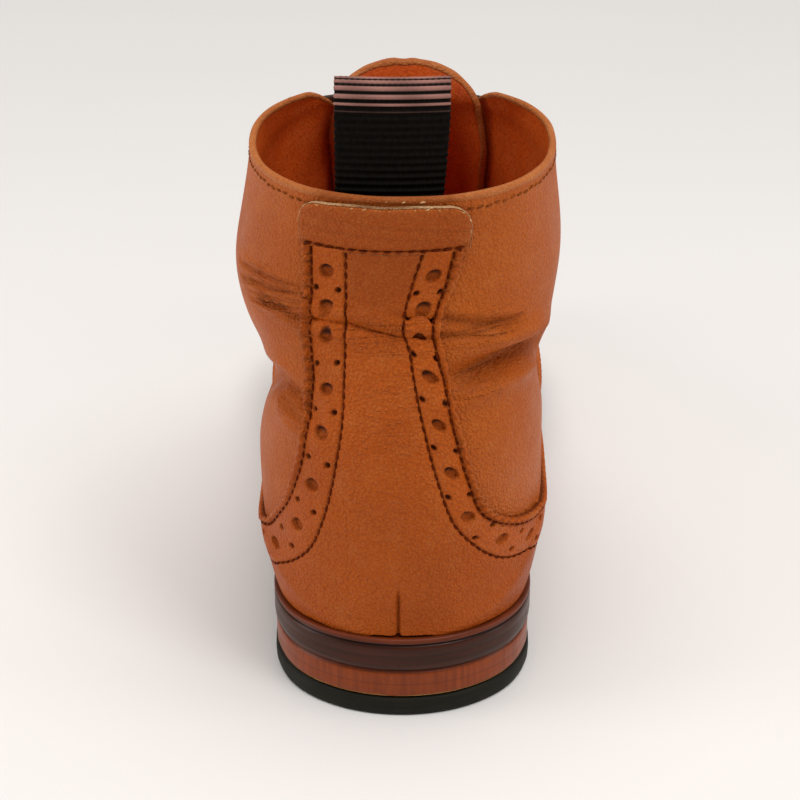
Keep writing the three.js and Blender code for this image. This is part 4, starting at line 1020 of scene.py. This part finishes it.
def strap(inner_line, outer_line, side, first, seed):
    """The punched strap and its wing: gimped edge, two rows of stitches, loops of thread over the teeth."""
    across = np.concatenate([np.linspace(0, 0.93, 35), [0.955, 0.98, 1.0]])[None]
    chart = ruled(inner_line, outer_line, EDGE_SHARE * across)
    z = chart[..., 1]
    base = softened(on_upper(chart[..., 0], z), 3)
    run, wide = run_of(base[:, 16]), run_of(base, axis=1)
    whole = wide[:, -1:]
    outer_row = whole - OUTER_ROW
    high_up = smooth(*STRAP_FADE, z)
    worn_and_lit = 0.5 + 0.5 * np.sin(run / 17 + 0.3 * seed)
    teeth = (0.45 + 0.55 * worn_and_lit) * np.abs(np.sin(np.pi * run / TOOTH_PITCH + 0.5 * np.sin(run / 11)))
    teeth += 0.2 * np.sin(run / 3.7 + seed)
    reach = (0.8 + 0.7 * high_up) * smooth(0.86, 1.0, across) * teeth[:, None]
    base = base + unit(base[:, -1] - base[:, -3])[:, None] * reach[..., None]
    out = normals_of(base, np.s_[:, 10], (side, -1, 0))
    more = np.arange(first[-1] + BIG_PITCH, run[-1] - 3, BIG_PITCH)
    hole, pit = punches(run, wide - 0.5 * (whole - 0.9), first + list(more), z)
    groove = bell(wide - outer_row, STITCH_GROOVE) + bell(wide, STITCH_GROOVE)
    puckers = 0.5 + 0.5 * np.cos(2 * np.pi * run / TOOTH_PITCH + np.sin(run / 11))
    height = OVERLAY_TOP + 0.35 * np.sin(np.pi * np.clip(wide / np.maximum(outer_row, 1), 0, 1))
    height += 0.45 * worn_and_lit[:, None] * bell(wide - outer_row - 0.9, 0.6) - 0.6 * groove - 1.3 * hole
    height += 0.35 * smooth(0.8, 0.93, across) * high_up
    height += (0.2 + 0.65 * worn_and_lit * puckers)[:, None] * high_up * smooth(0.84, 0.95, across)
    height += 0.16 * (smooth(0.02, 0.5, hole) - smooth(0.5, 0.98, hole)) - 0.45 * smooth(0.965, 1.0, across)
    top = base + out * height[..., None]
    # painted shade: the gaps between the teeth, the crease troughs and the stitch grooves are darkened
    between = 0.9 * (worn_and_lit * (1 - puckers))[:, None] * smooth(0.88, 0.96, across) * high_up
    dark = np.maximum(np.maximum(0.7 * relief(base)[1], 0.6 * groove), between)
    fray = smooth(0.93, 1.0, across) * (0.25 + 0.25 * np.sin(run / 5 + seed)[:, None])
    counter.grid(top, flip=side > 0, pit=pit, crease=dark, wear=fray, wrinkle=wrinkle_mask(base))
    wall = np.stack([top[:, -1], base[:, -1] + out[:, -1] * 0.6, base[:, -1] - out[:, -1] * 0.4], axis=1)
    # the wall under the edge is darkened with painted shade
    counter.grid(wall, flip=side > 0, crease=0.9, pit=0.5)
    ways = np.arange(len(run))
    place = np.argmin(np.abs(wide - outer_row), axis=1)
    for picks, more_seed, wander, radius in ((place, 0, 0.16, 0.37), (0 * place, 1, 0.12, 0.35)):
        normal = out[ways, picks]
        path = base[ways, picks] + normal * (OVERLAY_TOP - 0.1)
        stitch_row(path, normal, seed=seed + more_seed, wander=wander, radius=radius)
    for start in np.arange(2.0, run[-1] - 4, TOOTH_PITCH):
        low, high = np.searchsorted(run, (start, start + 0.55 * TOOTH_PITCH))
        if z[low, -1] > LOOPS_LOW and worn_and_lit[low] > 0.3 + 0.5 * (z[low, -1] < LOOPS_FULL):
            a = top[low, place[low]] + out[low, place[low]] * 0.3
            b = top[high, -1] + out[high, -1] * 0.1
            c = top[high + 3, place[high + 3]] + out[high, place[high]] * 0.3
            stitches["brown"] += [(a, b, out[low, -1], 0.31, 0.7), (b, c, out[low, -1], 0.31, 0.6)]


def panel(inner_line, axis_line, side):
    """The leather between the strap and the heel's middle line, with the short seam at its foot."""
    sparse = np.append(np.arange(0, COUNTER_STATIONS - 1, 2), COUNTER_STATIONS - 1)
    inward = 1 - (1 - np.linspace(0, 1, 54)) ** 1.5
    chart = ruled(inner_line[sparse], axis_line[sparse], inward[None])
    base = softened(on_upper(chart[..., 0], chart[..., 1]), 2)
    out = normals_of(base, np.s_[:, 10], (side, -1, 0))
    upright = unit(np.cross(unit(np.gradient(base[:, -1], axis=0)), np.array([1.0, 0, 0])))
    upright = np.where(upright[:, 1:2] > 0, -upright, upright)
    for back_step in range(8):
        share = (1 - back_step / 8) * (sparse <= AXIS_CORNER)[:, None]
        out[:, -1 - back_step] = unit(upright * share + out[:, -1 - back_step] * (1 - share))
    z, off_seam = base[..., 2], base[..., 0] - SEAM_X
    low_down = 1 - smooth(*SEAM_TOP, z)
    seam = np.exp(-(off_seam**2) / 0.22) * low_down * smooth(21.5, 24.5, z)
    from_strap = np.linalg.norm(base - base[:, :1], axis=2)
    height = OVERLAY_TOP - 0.32 * bell(from_strap, STITCH_GROOVE) - 0.9 * seam
    height += 0.25 * np.exp(-((np.abs(off_seam) - 2.2) ** 2) / 1.2) * low_down
    # painted shade, darker towards the top and towards the foot, and in the crease troughs, with the heel
    # seam's dark line
    painted_shade = 0.42 * smooth(104, 122, z) + 0.2 * (1 - smooth(44, 80, z))
    shade = np.maximum(painted_shade, np.maximum(0.8 * relief(base)[1], 0.9 * seam))
    counter.grid(base + out * height[..., None], flip=side < 0, crease=shade, wrinkle=wrinkle_mask(base))


for outer_rows, inner_rows, foot_line, side, first, seed in (
    (LEFT_OUTER, LEFT_INNER, LEFT_FOOT, -1, LEFT_PUNCHES, 21),
    (RIGHT_OUTER, RIGHT_INNER, RIGHT_FOOT, 1, RIGHT_PUNCHES, 31),
):
    lines = chart_line(outer_rows), chart_line(inner_rows)
    outer_line, inner_line = charted((lines[0] + lines[1]) / 2, lines, COUNTER_STATIONS)
    strap(inner_line, outer_line, side, first, seed)
    panel(inner_line, heel_axis(foot_line), side)
counter.build([overlay_leather, edge_leather], ["counter"], merge=0.05)


# The tab at the back of the collar
TAB_LEFT, TAB_RIGHT = -24.8, 16.6
TAB_LOW, TAB_HIGH, TAB_ROUND = 132.0, COLLAR_Z - 0.2, 6.0
TAB_SINK, TAB_BOW, TAB_ROW = 0.9, 0.9, 0.9  # below the lines, bow of the low edge, row above it


def back_tab():
    piece = Piece("back_tab", ("crease", "wear", "pit"))
    wide = np.linspace(TAB_LEFT, TAB_RIGHT, 130)[None]
    theta = np.interp(wide, (TAB_LEFT, TAB_RIGHT), [at_bearing(x, None, 138) for x in (TAB_LEFT, TAB_RIGHT)])
    far = np.minimum(wide - TAB_LEFT, TAB_RIGHT - wide)
    rounding = TAB_ROUND - np.sqrt(TAB_ROUND**2 - np.maximum(0, TAB_ROUND - far) ** 2)
    top_line = TAB_HIGH - TAB_SINK - rounding + 0.12 * np.sin(wide / 2.3)
    low_line = TAB_LOW - TAB_SINK + TAB_BOW * ((wide - 0.5 * (TAB_LEFT + TAB_RIGHT)) / 21) ** 2
    t = np.linspace(0, 1, 44)[:, None]
    z = low_line + (top_line - low_line) * t
    base = softened(on_upper(np.broadcast_to(theta, z.shape), z), 3)
    out = normals_of(base, np.s_[:], (0, -1, 0))
    edge = np.minimum((1 - t) * (top_line - low_line), far)
    low_stitch = t * (top_line - low_line) - TAB_ROW
    seam = bell(low_stitch, STITCH_GROOVE)
    height = OVERLAY_TOP + 0.1 + 0.3 * smooth(0, 0.25, t) - 0.4 * np.exp(-edge / 0.5) - 0.4 * seam
    top = base + out * height[..., None]
    streak = 0.35 * smooth(0.2, 0.8, np.sin(z * 2.1 + wide / 6)) * bell(z - 137, 3)
    # painted shade over the whole tab and in the stitch groove, with darker streaks across it
    piece.grid(top, crease=0.3 + 0.5 * streak + 0.3 * seam, wear=0.02 + 0.4 * np.exp(-edge / 0.8))
    border, border_out = border_of(top), border_of(out)
    outside = unit(border - border.mean(axis=0))
    fray = 0.18 * dice.random(len(border))[:, None]
    lip = border - border_out * 0.25 + outside * (0.16 + fray)
    foot = border_of(base) + border_out * 0.3 + outside * 0.1
    browned = 0.95 * smooth(0.4, 0.8, outside[:, 2:])
    piece.grid(np.stack([border, lip, foot], axis=1), kind=1, wear=0.5 * (1 - browned), crease=browned)
    piece.build([overlay_leather, raw_leather], ["back_tab"], merge=0.02)
    row = int(np.argmin(np.abs(low_stitch[:, 65]))), np.s_[3:-3]
    stitch_row(top[row] + out[row] * 0.3, out[row], pitch=3.0, length=2.4, radius=0.4, seed=41)
    around, around_out = (np.concatenate([g[6:-3, 1], g[-3, 1:-1], g[-3:5:-1, -2]]) for g in (top, out))
    stitch_row(around, around_out, "pale", pitch=3.1, length=1.5, radius=0.17, wander=0.4, seed=42)


back_tab()

# The winged toe cap: its edge as (height, y) on the wings and (distance from the middle, y) at the peak
WING_TABLE = [(0.0, 150), (18, 159), (29.4, 175.5), (38.4, 198), (46.2, 222), (52.8, 240), (84, 244.5)]
PEAK_TABLE = [(0.0, 220.5), (4.8, 228), (12, 236), (23, 240)]
CAP_ROWS = 2.3, 11.2  # of the stitches, from the edge
CAP_PUNCHES = 6.6  # of the large holes, from the edge
CAP_BAND, CAP_TEETH = 13.5, 2.5


def toe_cap():
    piece = Piece("toe_cap", ("crease", "wear", "pit"))
    up = np.linspace(0, 1, 330) ** 0.9
    fine = np.linspace(0, 0.62, 420)
    sides = []
    for side in (-1, 1):
        points = face(side, fine[:, None], up[None])
        y, z = points[..., 1], points[..., 2]
        dx = np.abs(points[..., 0] - middle(PEAK_TABLE[0][1]))
        inside = y > np.interp(z, column(WING_TABLE, 0), column(WING_TABLE, 1))
        inside |= (dx <= 23) & (z > 36) & (y > np.interp(dx, column(PEAK_TABLE, 0), column(PEAK_TABLE, 1)))
        run = run_of(points)
        made = []
        for j, whole in enumerate(evened(run[np.argmax(~inside, axis=0), np.arange(len(up))], 4)):
            near = min(CAP_BAND, 0.6 * whole)
            distances = np.concatenate([np.linspace(0, near, 30), np.linspace(near, whole, 35)[1:]])
            made.append(face(side, np.interp(whole - distances, run[:, j], fine), np.full(64, up[j])))
        sides.append(np.stack(made, axis=1))
    whole = softened(np.concatenate([sides[0], sides[1][:, ::-1][:, 1:]], axis=1), 2)
    out = normals_of(whole, 5, (0, 0, 1))
    edge_run, deep = run_of(whole[0]), run_of(whole)
    centres = edge_run[-1] / 2 + BIG_PITCH * np.arange(-14, 15)
    centres = centres[(centres > 6) & (centres < edge_run[-1] - 6)]
    hole = punches(edge_run, deep.T - CAP_PUNCHES, list(centres))[0].T
    groove = sum(bell(deep - inset, STITCH_GROOVE) for inset in CAP_ROWS)
    height = OVERLAY_TOP - 0.3 * groove - 1.15 * hole - 0.5 * (1 - smooth(0, 0.5, deep))
    teeth = 0.45 * np.abs(np.sin(np.pi * edge_run / CAP_TEETH))[None] * (1 - smooth(0, 1.4, deep))
    whole = whole + unit(whole[0] - whole[2])[None] * teeth[..., None]
    top = whole + out * height[..., None]
    top[..., 2] = np.maximum(top[..., 2], welt_top(top[..., 1]) + GAP)
    # painted shade in the stitch grooves and the punched holes
    piece.grid(top, pit=hole, crease=0.35 * groove, wear=0.15 * (1 - smooth(0, 1, deep)))
    piece.grid(np.stack([top[0], whole[0] + out[0] * 0.5, whole[0] - out[0] * 0.3]), kind=1, flip=True)
    piece.build([overlay_leather, edge_leather], ["toe_cap"], merge=0.02)
    ways = np.arange(whole.shape[1])[3:-3]
    for k, inset in enumerate(CAP_ROWS):
        row = np.argmin(np.abs(deep - inset), axis=0)[ways], ways
        stitch_row(top[row] + out[row] * 0.25, out[row], **NEAT, seed=51 + k)


toe_cap()

# The tongue
TONGUE_THICK, TONGUE_WIDTH, TONGUE_RISE, TONGUE_TUCK, TONGUE_LEAN = 2.2, 46.0, 10.0, 12.0, 3.0
TONGUE_FLAT, TONGUE_ARCH, TONGUE_FLARE = 0.86, 0.76, 3.4


def rounded_ramp(value, bend):
    """The value where it is above nought, eased through a bend of this size."""
    return (value + np.sqrt(value * value + bend * bend)) / 2


def tongue():
    piece = Piece("tongue", ("crease", "wear", "pit"))
    start = THROAT_START - TONGUE_TUCK / SOLE_LENGTH
    s = np.linspace(0, 1, 150)[:, None]
    t = np.linspace(-1, 1, 61)[None]
    at = start + (1 - start) * np.minimum(1, 1 - rounded_ramp(1 - s / TONGUE_FLAT, 0.06))
    past = rounded_ramp((s - TONGUE_FLAT) / (1 - TONGUE_FLAT), 0.35)
    past = past / past[-1]
    arch = np.maximum(0, (s - TONGUE_ARCH) / (1 - TONGUE_ARCH))
    half = TONGUE_WIDTH / 2 + TONGUE_FLARE * smooth(0.02, 0.18, s) * (1 - smooth(0.5, 0.82, s))
    wide = half * np.sqrt(1 - 0.98 * arch**2.6) * (0.82 + 0.18 * smooth(0, 0.15, s))
    x = wide * t + 1.9 * smooth(0.05, 0.2, s) * (1 - 0.6 * arch)
    base, out = over(np.broadcast_to(at, x.shape), x, np.zeros(x.shape))
    base[..., 1:] += past[..., None] * (TONGUE_LEAN, TONGUE_RISE)
    base += out * (0.14 * np.sin(3.2 * t + 5 * s) * smooth(0.1, 0.4, s))[..., None]
    rounded = 0.7 * (1 - (1 - np.minimum(1, (1 - np.abs(t)) / 0.05)) ** 2) ** 0.5 + 0.3
    middle_sheet = base - out * (WALL + 4 * GAP + TONGUE_THICK / 2)
    front, back = (middle_sheet + sign * out * (TONGUE_THICK / 2 * rounded)[..., None] for sign in (1, -1))
    piece.grid(front, flip=True)
    piece.grid(back, kind=1)
    piece.walls(front, back, kind=2)
    piece.grid(np.stack([front[-1], back[-1]], axis=1), kind=2)
    border = [np.concatenate([g[30:, 0], g[-1, 1:-1], g[::-1, -1][:-30]]) for g in (middle_sheet, out)]
    border, border_out = resampled(*border)
    band = 1 + 0.07 * np.sin(run_of(border) / 2.7) + 0.05 * np.sin(run_of(border) / 1.1)
    ring = [(1.15 * band * math.cos(u), 0.55 * band * math.sin(u)) for u in circle(14)]
    piece.grid(sweep(border, border_out, ring), closed=True, kind=2, wear=0.2)
    piece.build([upper_leather, lining_leather, edge_leather], ["tongue"])
    for k in (3, 57):
        row = np.s_[8:148, k]
        stitch_row(front[row] + out[row] * 0.1, out[row], **NEAT, radius=0.28, seed=71 + k)


tongue()

# The pull loop of ribbed webbing
LOOP_WIDTH, LOOP_THICK, LOOP_RISE, LOOP_DEPTH, LOOP_SEAT = 28.0, 1.5, 28.0, 9.0, 21.0
LOOP_STAND, LOOP_OFFSET, LOOP_BOW, RIB_PITCH = 13.5, -3.0, 1.5, 1.8


def pull_loop():
    piece = Piece("pull_loop", ("crease", "wear", "pit"))
    radius = (LOOP_DEPTH - LOOP_THICK) / 2
    low, high = COLLAR_Z - LOOP_SEAT, COLLAR_Z + LOOP_RISE - LOOP_DEPTH / 2
    leg = LOOP_STAND + LOOP_THICK / 2
    bend = [(leg + radius + radius * math.cos(a), high + radius * math.sin(a), a)
            for a in np.linspace(math.pi, 0, 44)[1:-1]]
    path = [(leg, z, math.pi) for z in np.linspace(low, high, 130)] + bend
    path = np.array(path + [(leg + 2 * radius, z, 0.0) for z in np.linspace(high, low, 130)])
    run = run_of(path[:, :2])
    dense = np.linspace(0, run[-1], 620)[:, None]
    y, z, turn = np.moveaxis(read(run, path, dense), -1, 0)
    t = np.linspace(-1, 1, 41)[None]
    half = LOOP_WIDTH / 2 * (0.92 + 0.08 * smooth(low, high, z))
    rib = 0.5 + 0.5 * np.cos(2 * np.pi * dense / RIB_PITCH)
    selvedge = smooth(0.93, 0.97, np.abs(t))
    weave = 0.05 * np.cos(np.pi * 20 * t + np.pi * np.round(dense / RIB_PITCH))
    thick = LOOP_THICK / 2 - 0.42 + 0.45 * rib * (1 - selvedge) + 0.32 * selvedge * rib + weave
    sway = 0.25 * np.sin(dense / 9) - 1.2 + 2.1 * smooth(low, high, z)
    x = LOOP_OFFSET + t * (half + 0.22 * rib * selvedge) + sway
    up_high = smooth(high - 4.5, high + 2.5, z)
    # painted highlight on the rib tops near the top of the loop
    worn_and_lit = smooth(0.95 - 0.75 * up_high, 1.12 - 0.6 * up_high, rib) * smooth(0.02, 0.3, up_high)
    worn_and_lit = worn_and_lit * (0.85 + 0.15 * np.sin(7 * t + dense / 3))
    faces = []
    for push in (thick, -thick):
        bowed = y + LOOP_BOW * t * t + push * np.cos(turn)
        faces.append(np.stack(np.broadcast_arrays(x, bowed, z + push * np.sin(turn)), -1))
    piece.grid(faces[0], wear=worn_and_lit)
    piece.grid(faces[1], flip=True)
    piece.walls(*faces, flip=True)
    piece.build([webbing_cloth], ["pull_loop"], merge=0.002)


pull_loop()

# Eyelets and laces
EYELET_PAIRS, EYELET_RADIUS, EYELET_HOLE, EYELET_LIFT, EYELET_THICK = 7, 3.6, 1.9, 0.65, 0.9
EYELET_INSET, EYELET_START, EYELET_END = 9.0, 9.0, 7.0
LACE_WIDTH, LACE_THICK = 3.2, 1.4
EYELET_TOP = EYELET_LIFT + EYELET_THICK
# radius, height and painted shade of the eyelet's turned profile, from its foot over the rim and into the
# hole
EYELET_PROFILE = [
    (EYELET_RADIUS, 0.05, 0),
    (EYELET_RADIUS, EYELET_LIFT + 0.25, 0),
    (EYELET_RADIUS - 0.25, EYELET_TOP - 0.15, 0),
    (EYELET_RADIUS - 0.8, EYELET_TOP, 0),
    (EYELET_HOLE + 0.5, EYELET_TOP, 0),
    (EYELET_HOLE + 0.1, EYELET_TOP - 0.25, 0),
    (EYELET_HOLE, EYELET_LIFT, 0.5),
    (EYELET_HOLE, 0.2, 1),
    (0.05, 0.12, 1),
]

edge_at = THROAT_START + (1 - THROAT_START) * np.linspace(0, 1, 61)
edge_x = throat_half(edge_at) + EYELET_INSET
edge_run = run_of(over(edge_at, edge_x, np.zeros(61))[0])
stops = []  # fan place and distance from the ridge of each pair
for pair in range(EYELET_PAIRS):
    run = EYELET_START + (edge_run[-1] - EYELET_END - EYELET_START) * pair / (EYELET_PAIRS - 1)
    k = int(np.argmax(edge_run >= run - 1e-9))
    stops.append((float(edge_at[k]), float(edge_x[k])))


def eyelets():
    piece = Piece("eyelets", ("pit",))
    shade = np.array([[row[2]] for row in EYELET_PROFILE])
    for at, x in stops:
        for side in (-1, 1):
            low, out = (made[0] for made in over(np.array([at]), np.array([side * x]), np.zeros(1)))
            a = unit(np.cross(out, [0, 0, 1.0]))
            b = np.cross(out, a)
            rings = [
                [low + out * h + r * (a * math.cos(u) + b * math.sin(u)) for u in circle(32)]
                for r, h, _ in EYELET_PROFILE
            ]
            piece.grid(np.array(rings), closed=True, pit=shade)
    names = [f"eyelet_{side}_{k + 1}" for side in ("lateral", "medial") for k in range(EYELET_PAIRS)]
    piece.build([eyelet_metal], names, merge=FINE_WELD)


eyelets()


def laces():
    piece = Piece("laces")
    ring = []
    for u in circle(16):
        c, s = math.cos(u), math.sin(u)
        high = LACE_THICK / 2 * np.sign(s) * abs(s) ** 0.7
        ring.append((high, LACE_WIDTH / 2 * np.sign(c) * abs(c) ** 0.6))
    top = EYELET_TOP + 0.35 + LACE_THICK / 2

    def strand(start, end, extra, bar=False, last=False):
        """Out of one hole, over the gap, under the other facing and up to its hole."""
        t = np.linspace(0, 1, 70)
        at = start[0] + (end[0] - start[0]) * (t**1.8 if last else t)
        x = start[1] + (end[1] - start[1]) * t
        out_of_hole = smooth(0, 0.09, t)
        arch = extra * np.sin(np.pi * t) ** 3
        if last:
            height = -0.9 + (1.5 + arch) * out_of_hole * smooth(0, 0.12, 1 - t)
        elif bar:
            height = -0.8 + (top + 0.8 + arch) * out_of_hole * smooth(0, 0.14, 1 - t)
        else:
            edge = throat_half(at) / np.abs(end[1])
            under = smooth(edge - 0.42, edge + 0.02, np.abs(x) / np.abs(end[1]) * np.sign(t - 0.5))
            height = -0.8 + (top + 0.8 + extra * np.sin(np.pi * t)) * out_of_hole * (1 - under)
            height = height * (1 - under) + under * (-3.0 + 1.6 * smooth(0.94, 1, t))
        path, out = over(at, x, height)
        narrow = 0.55 + 0.45 * out_of_hole * (smooth(0, 0.09, 1 - t) if bar or last else 1)
        piece.grid(sweep(path, out, [(a, b * narrow) for a, b in ring]), closed=True)

    strand((stops[0][0], -stops[0][1]), stops[0], 0.3, bar=True)
    for k in range(EYELET_PAIRS - 1):
        (low_at, low_x), (high_at, high_x) = stops[k], stops[k + 1]
        first = 1 if k % 2 else -1
        last = k >= EYELET_PAIRS - 3
        for way, extra in ((first, 0.0), (-first, 1.6 if last else 2.4)):
            strand((low_at, way * low_x), (high_at, -way * high_x), extra, last=last)
    piece.build([lace_cord], ["laces"], merge=FINE_WELD)


laces()


# The sole: each part is a profile carried round the outline
FRONT_POINTS = 29  # across the breast of the heel


def sole_line(side, inset, to, stations):
    turn = math.acos(1 - 2 * to / SOLE_LENGTH) * np.linspace(0, 1, stations + 1)

    def place(t):
        share = (1 - np.cos(t)) / 2
        half = hermite(SOLE_TURN, SOLE_HALF[side], np.arccos(1 - 2 * share))
        return np.stack([side * half, SOLE_LENGTH * share], -1)

    run = unit(place(np.minimum(np.pi, turn + 0.02)) - place(np.maximum(0, turn - 0.02)))
    return place(turn) + side * inset * run[:, ::-1] * (-1, 1)


def breast_fade(count):
    """Grows along the last part of the line, towards the breast of the heel."""
    return smooth(0.7, 1, np.linspace(0, 1, count))


def outline(inset, to, stations, dish):
    lateral = sole_line(-1, inset, to, stations)
    medial = sole_line(1, inset, to, stations)
    if to >= SOLE_LENGTH:
        return np.concatenate([lateral, medial[::-1][1:-1]])
    t = np.linspace(0, 1, FRONT_POINTS + 2)[1:-1, None]
    front = lateral[-1] + (medial[-1] - lateral[-1]) * t
    front[:, 1] -= dish * (1 - (2 * t[:, 0] - 1) ** 2)
    fade = breast_fade(stations + 1)
    made = np.concatenate([lateral, front, medial[::-1][:-1]])
    made[:, 1] -= inset * np.concatenate([fade, np.ones(len(front)), fade[::-1][:-1]])
    return made


def banded(name, profile, low, high, material, slot, to=SOLE_LENGTH, dish=0.0, caps=True, stations=130):
    """A piece of rings up the edge from rows of inset, share of the height, and a mark: above 0 painted
    shade, below 0 the pale glue line.
    """
    piece = Piece(name, ("crease", "wear"))
    rings = []
    for inset, share, _ in profile:
        line = outline(inset, to, stations, dish)
        z = low(line[:, 1]) * (1 - share) + high(line[:, 1]) * share
        rings.append(np.concatenate([line, z[:, None]], axis=1))
    rings = np.array(rings)
    masks = column(profile, 2)[:, None]
    piece.grid(rings, closed=True, crease=np.maximum(masks, 0), wear=np.maximum(-masks, 0))
    n = stations + 1
    for k, height in ((0, low), (-1, high)) if caps else ():
        ring = rings[k]
        right = np.concatenate([ring[:1], ring[n + (FRONT_POINTS if to < SOLE_LENGTH else 0) :][::-1]])
        if to >= SOLE_LENGTH:
            right = np.concatenate([right, ring[n - 1 : n]])
        t = np.linspace(0, 1, 25)[None]
        cap = ruled(ring[:n], right, t)
        cap[..., 1] -= dish * (1 - (2 * t - 1) ** 2) * breast_fade(n)[:, None]
        cap[..., 2] = height(cap[..., 1])
        piece.grid(cap, flip=(k == 0))
    piece.build([material], [name])
    return rings


# the third column: above 0 painted shade in grooves and at edges, below 0 the pale glue line
WELT_PROFILE = [
    (WELT_WIDTH, 0, 0), (0.5, 0, 0.6), (0.1, 0.2, 0.2), (0.0, 0.5, 0), (0.1, 0.8, 0), (0.5, 1, 0),
    (1.2, 1, 0), (2.1, 1, 0.2), (2.4, 0.82, 0.5), (2.7, 1, 0.2), (4, 1, 0), (WELT_WIDTH, 1, 0),
]
WELT_GROOVE = 8  # the profile's row at the bottom of the stitched groove
OUTSOLE_PROFILE = [
    (1.6, 0, 0), (0.6, 0.03, 0.3), (0.15, 0.12, 0), (0, 0.3, 0), (0.05, 0.56, 0), (0.1, 0.6, 0.35),
    (0.05, 0.64, 0), (0, 0.8, 0), (0.15, 0.92, 0), (0.5, 0.98, 0.3), (1.2, 1, 0.3),
]
STACK_PROFILE = [
    (1.3, 0, -1.0), (0.75, 0.03, -1.0), (0.5, 0.1, 0), (0.42, 0.3, 0), (0.5, 0.46, 0), (0.52, 0.5, 0.4),
    (0.5, 0.54, 0), (0.42, 0.75, 0), (0.5, 0.9, 0), (0.75, 0.97, 0.5), (1.3, 1, 0.5),
]
TOP_PIECE_PROFILE = [
    (1.0, 0, 0.3), (0.35, 0.06, 0.1), (0.1, 0.18, 0), (0.0, 0.5, 0), (0.1, 0.85, 0), (0.4, 0.97, 0.2),
    (1.0, 1, 0.3),
]
BREAST_DISH = 3.0
STITCHED_FROM = HEEL_LENGTH + 8


def flat_at(height):
    return lambda y: np.full_like(y, height)


def welt_bottom(y):
    return welt_top(y) - WELT


def stack_top(y):
    return outsole_bottom(y) - GAP


HEEL_CUT = {"to": HEEL_LENGTH, "dish": BREAST_DISH, "stations": 90}
welt_rings = banded(
    "welt", WELT_PROFILE, welt_bottom, welt_top, welt_leather, "welt_leather", caps=False, stations=150)
groove_row = welt_rings[WELT_GROOVE][welt_rings[WELT_GROOVE][:, 1] > STITCHED_FROM]
upward = np.tile((0, 0, 1), (len(groove_row), 1))
stitch_row(groove_row + (0, 0, 0.2), upward, "pale", 3.1, 2.5, 0.42, seed=81)
banded("outsole", OUTSOLE_PROFILE, outsole_bottom, outsole_top, sole_edge, "sole_edge")
stack_foot = flat_at(TOP_PIECE + GAP)
banded("heel_stack", STACK_PROFILE, stack_foot, stack_top, stack_leather, "stack_leather", **HEEL_CUT)
top_piece_faces = flat_at(0.0), flat_at(TOP_PIECE)
banded("heel_top_piece", TOP_PIECE_PROFILE, *top_piece_faces, rubber, "top_piece_rubber", **HEEL_CUT)


def insole():
    piece = Piece("insole", ("crease", "wear", "pit"))
    at = np.linspace(0, HEEL_CORNER, 120)[::-1]
    left, right = (skin(side, at, [0.0], -(WALL + 5 * GAP))[:, 0] for side in (-1, 1))
    t = np.linspace(0, 1, 31)[None]
    under = ruled(left, right, t)
    under[..., 2] = welt_top(under[..., 1]) + GAP
    top = under.copy()
    top[..., 2] += INSOLE - INSOLE_ROUNDING * (1 - smooth(0, 0.08, 1 - np.abs(2 * t - 1)))
    piece.grid(top)
    piece.grid(under, flip=True)
    piece.walls(top, under)
    piece.build([lining_leather], ["insole"])


insole()

# Floor, light and camera
FLOOR_HALF = 40.0
WORLD_COLOR, WORLD_STRENGTH = (0.93, 0.92, 0.905, 1), 0.33
# name, place, aim, size, power
AREA_LIGHTS = [
    ("key_light", (0.42, -0.4, 0.95), (0, 0.08, 0.13), (0.3, 0.3), 2.4),
    ("right_light", (0.9, -0.12, 0.16), (0, 0.03, 0.05), (0.3, 0.7), 1.7),
    ("left_light", (-0.9, -0.12, 0.32), (0, 0.03, 0.08), (0.4, 0.7), 2.9),
]
SUN_STRENGTH, SUN_ANGLE, SUN_TILT = 2.0, 60, (3, 4, 0)
PITCH_DOWN = 24.06  # degrees
LENS, SENSOR, NEAREST = 73.8, 36.0, 0.02
CAMERA_BACK = 412.0
CAMERA_HIGH = 263.0
PICTURE_SHIFT = -0.0025


def studio():
    half = FLOOR_HALF
    floor_mesh = bpy.data.meshes.new("floor")
    corners = [(-half, -half, 0), (half, -half, 0), (half, half, 0), (-half, half, 0)]
    floor_mesh.from_pydata(corners, [], [(0, 1, 2, 3)])
    pale = Shader("pale_floor")
    tones = pale.mix(pale.noise(3, 2), rgb(230, 227, 224), rgb(234, 231, 229))
    floor_mesh.materials.append(pale.finish(tones, 0.6))
    placed("floor", floor_mesh)
    world = bpy.data.worlds.new("studio")
    world.use_nodes = True
    background = world.node_tree.nodes["Background"]
    background.inputs["Color"].default_value = WORLD_COLOR
    background.inputs["Strength"].default_value = WORLD_STRENGTH
    bpy.context.scene.world = world
    sun = bpy.data.lights.new("overhead_light", "SUN")
    sun.energy = SUN_STRENGTH
    sun.angle = math.radians(SUN_ANGLE)
    sun.color = (1, 0.985, 0.965)
    overhead = placed("overhead_light", sun)
    overhead.rotation_euler = [math.radians(turn) for turn in SUN_TILT]
    for name, place, aim, size, power in AREA_LIGHTS:
        light = bpy.data.lights.new(name, "AREA")
        light.shape = "RECTANGLE"
        light.size, light.size_y = size
        light.energy = power
        made = placed(name, light)
        made.location = place
        made.rotation_euler = (Vector(aim) - Vector(place)).to_track_quat("-Z", "Y").to_euler()


studio()
lens = bpy.data.cameras.new("camera")
lens.lens = LENS
lens.sensor_width = SENSOR
lens.shift_x = PICTURE_SHIFT
lens.clip_start = NEAREST
camera = placed("camera", lens)
camera.location = (0, -CAMERA_BACK * MM, CAMERA_HIGH * MM)
camera.rotation_euler = (math.radians(90 - PITCH_DOWN), 0, 0)
bpy.context.scene.camera = camera
bpy.context.scene.view_settings.view_transform = "Standard"

build_stitches("stitching", "dark", dark_thread)
build_stitches("tab_stitching", "pale", pale_thread)
build_stitches("collar_stitching", "brown", brown_thread)
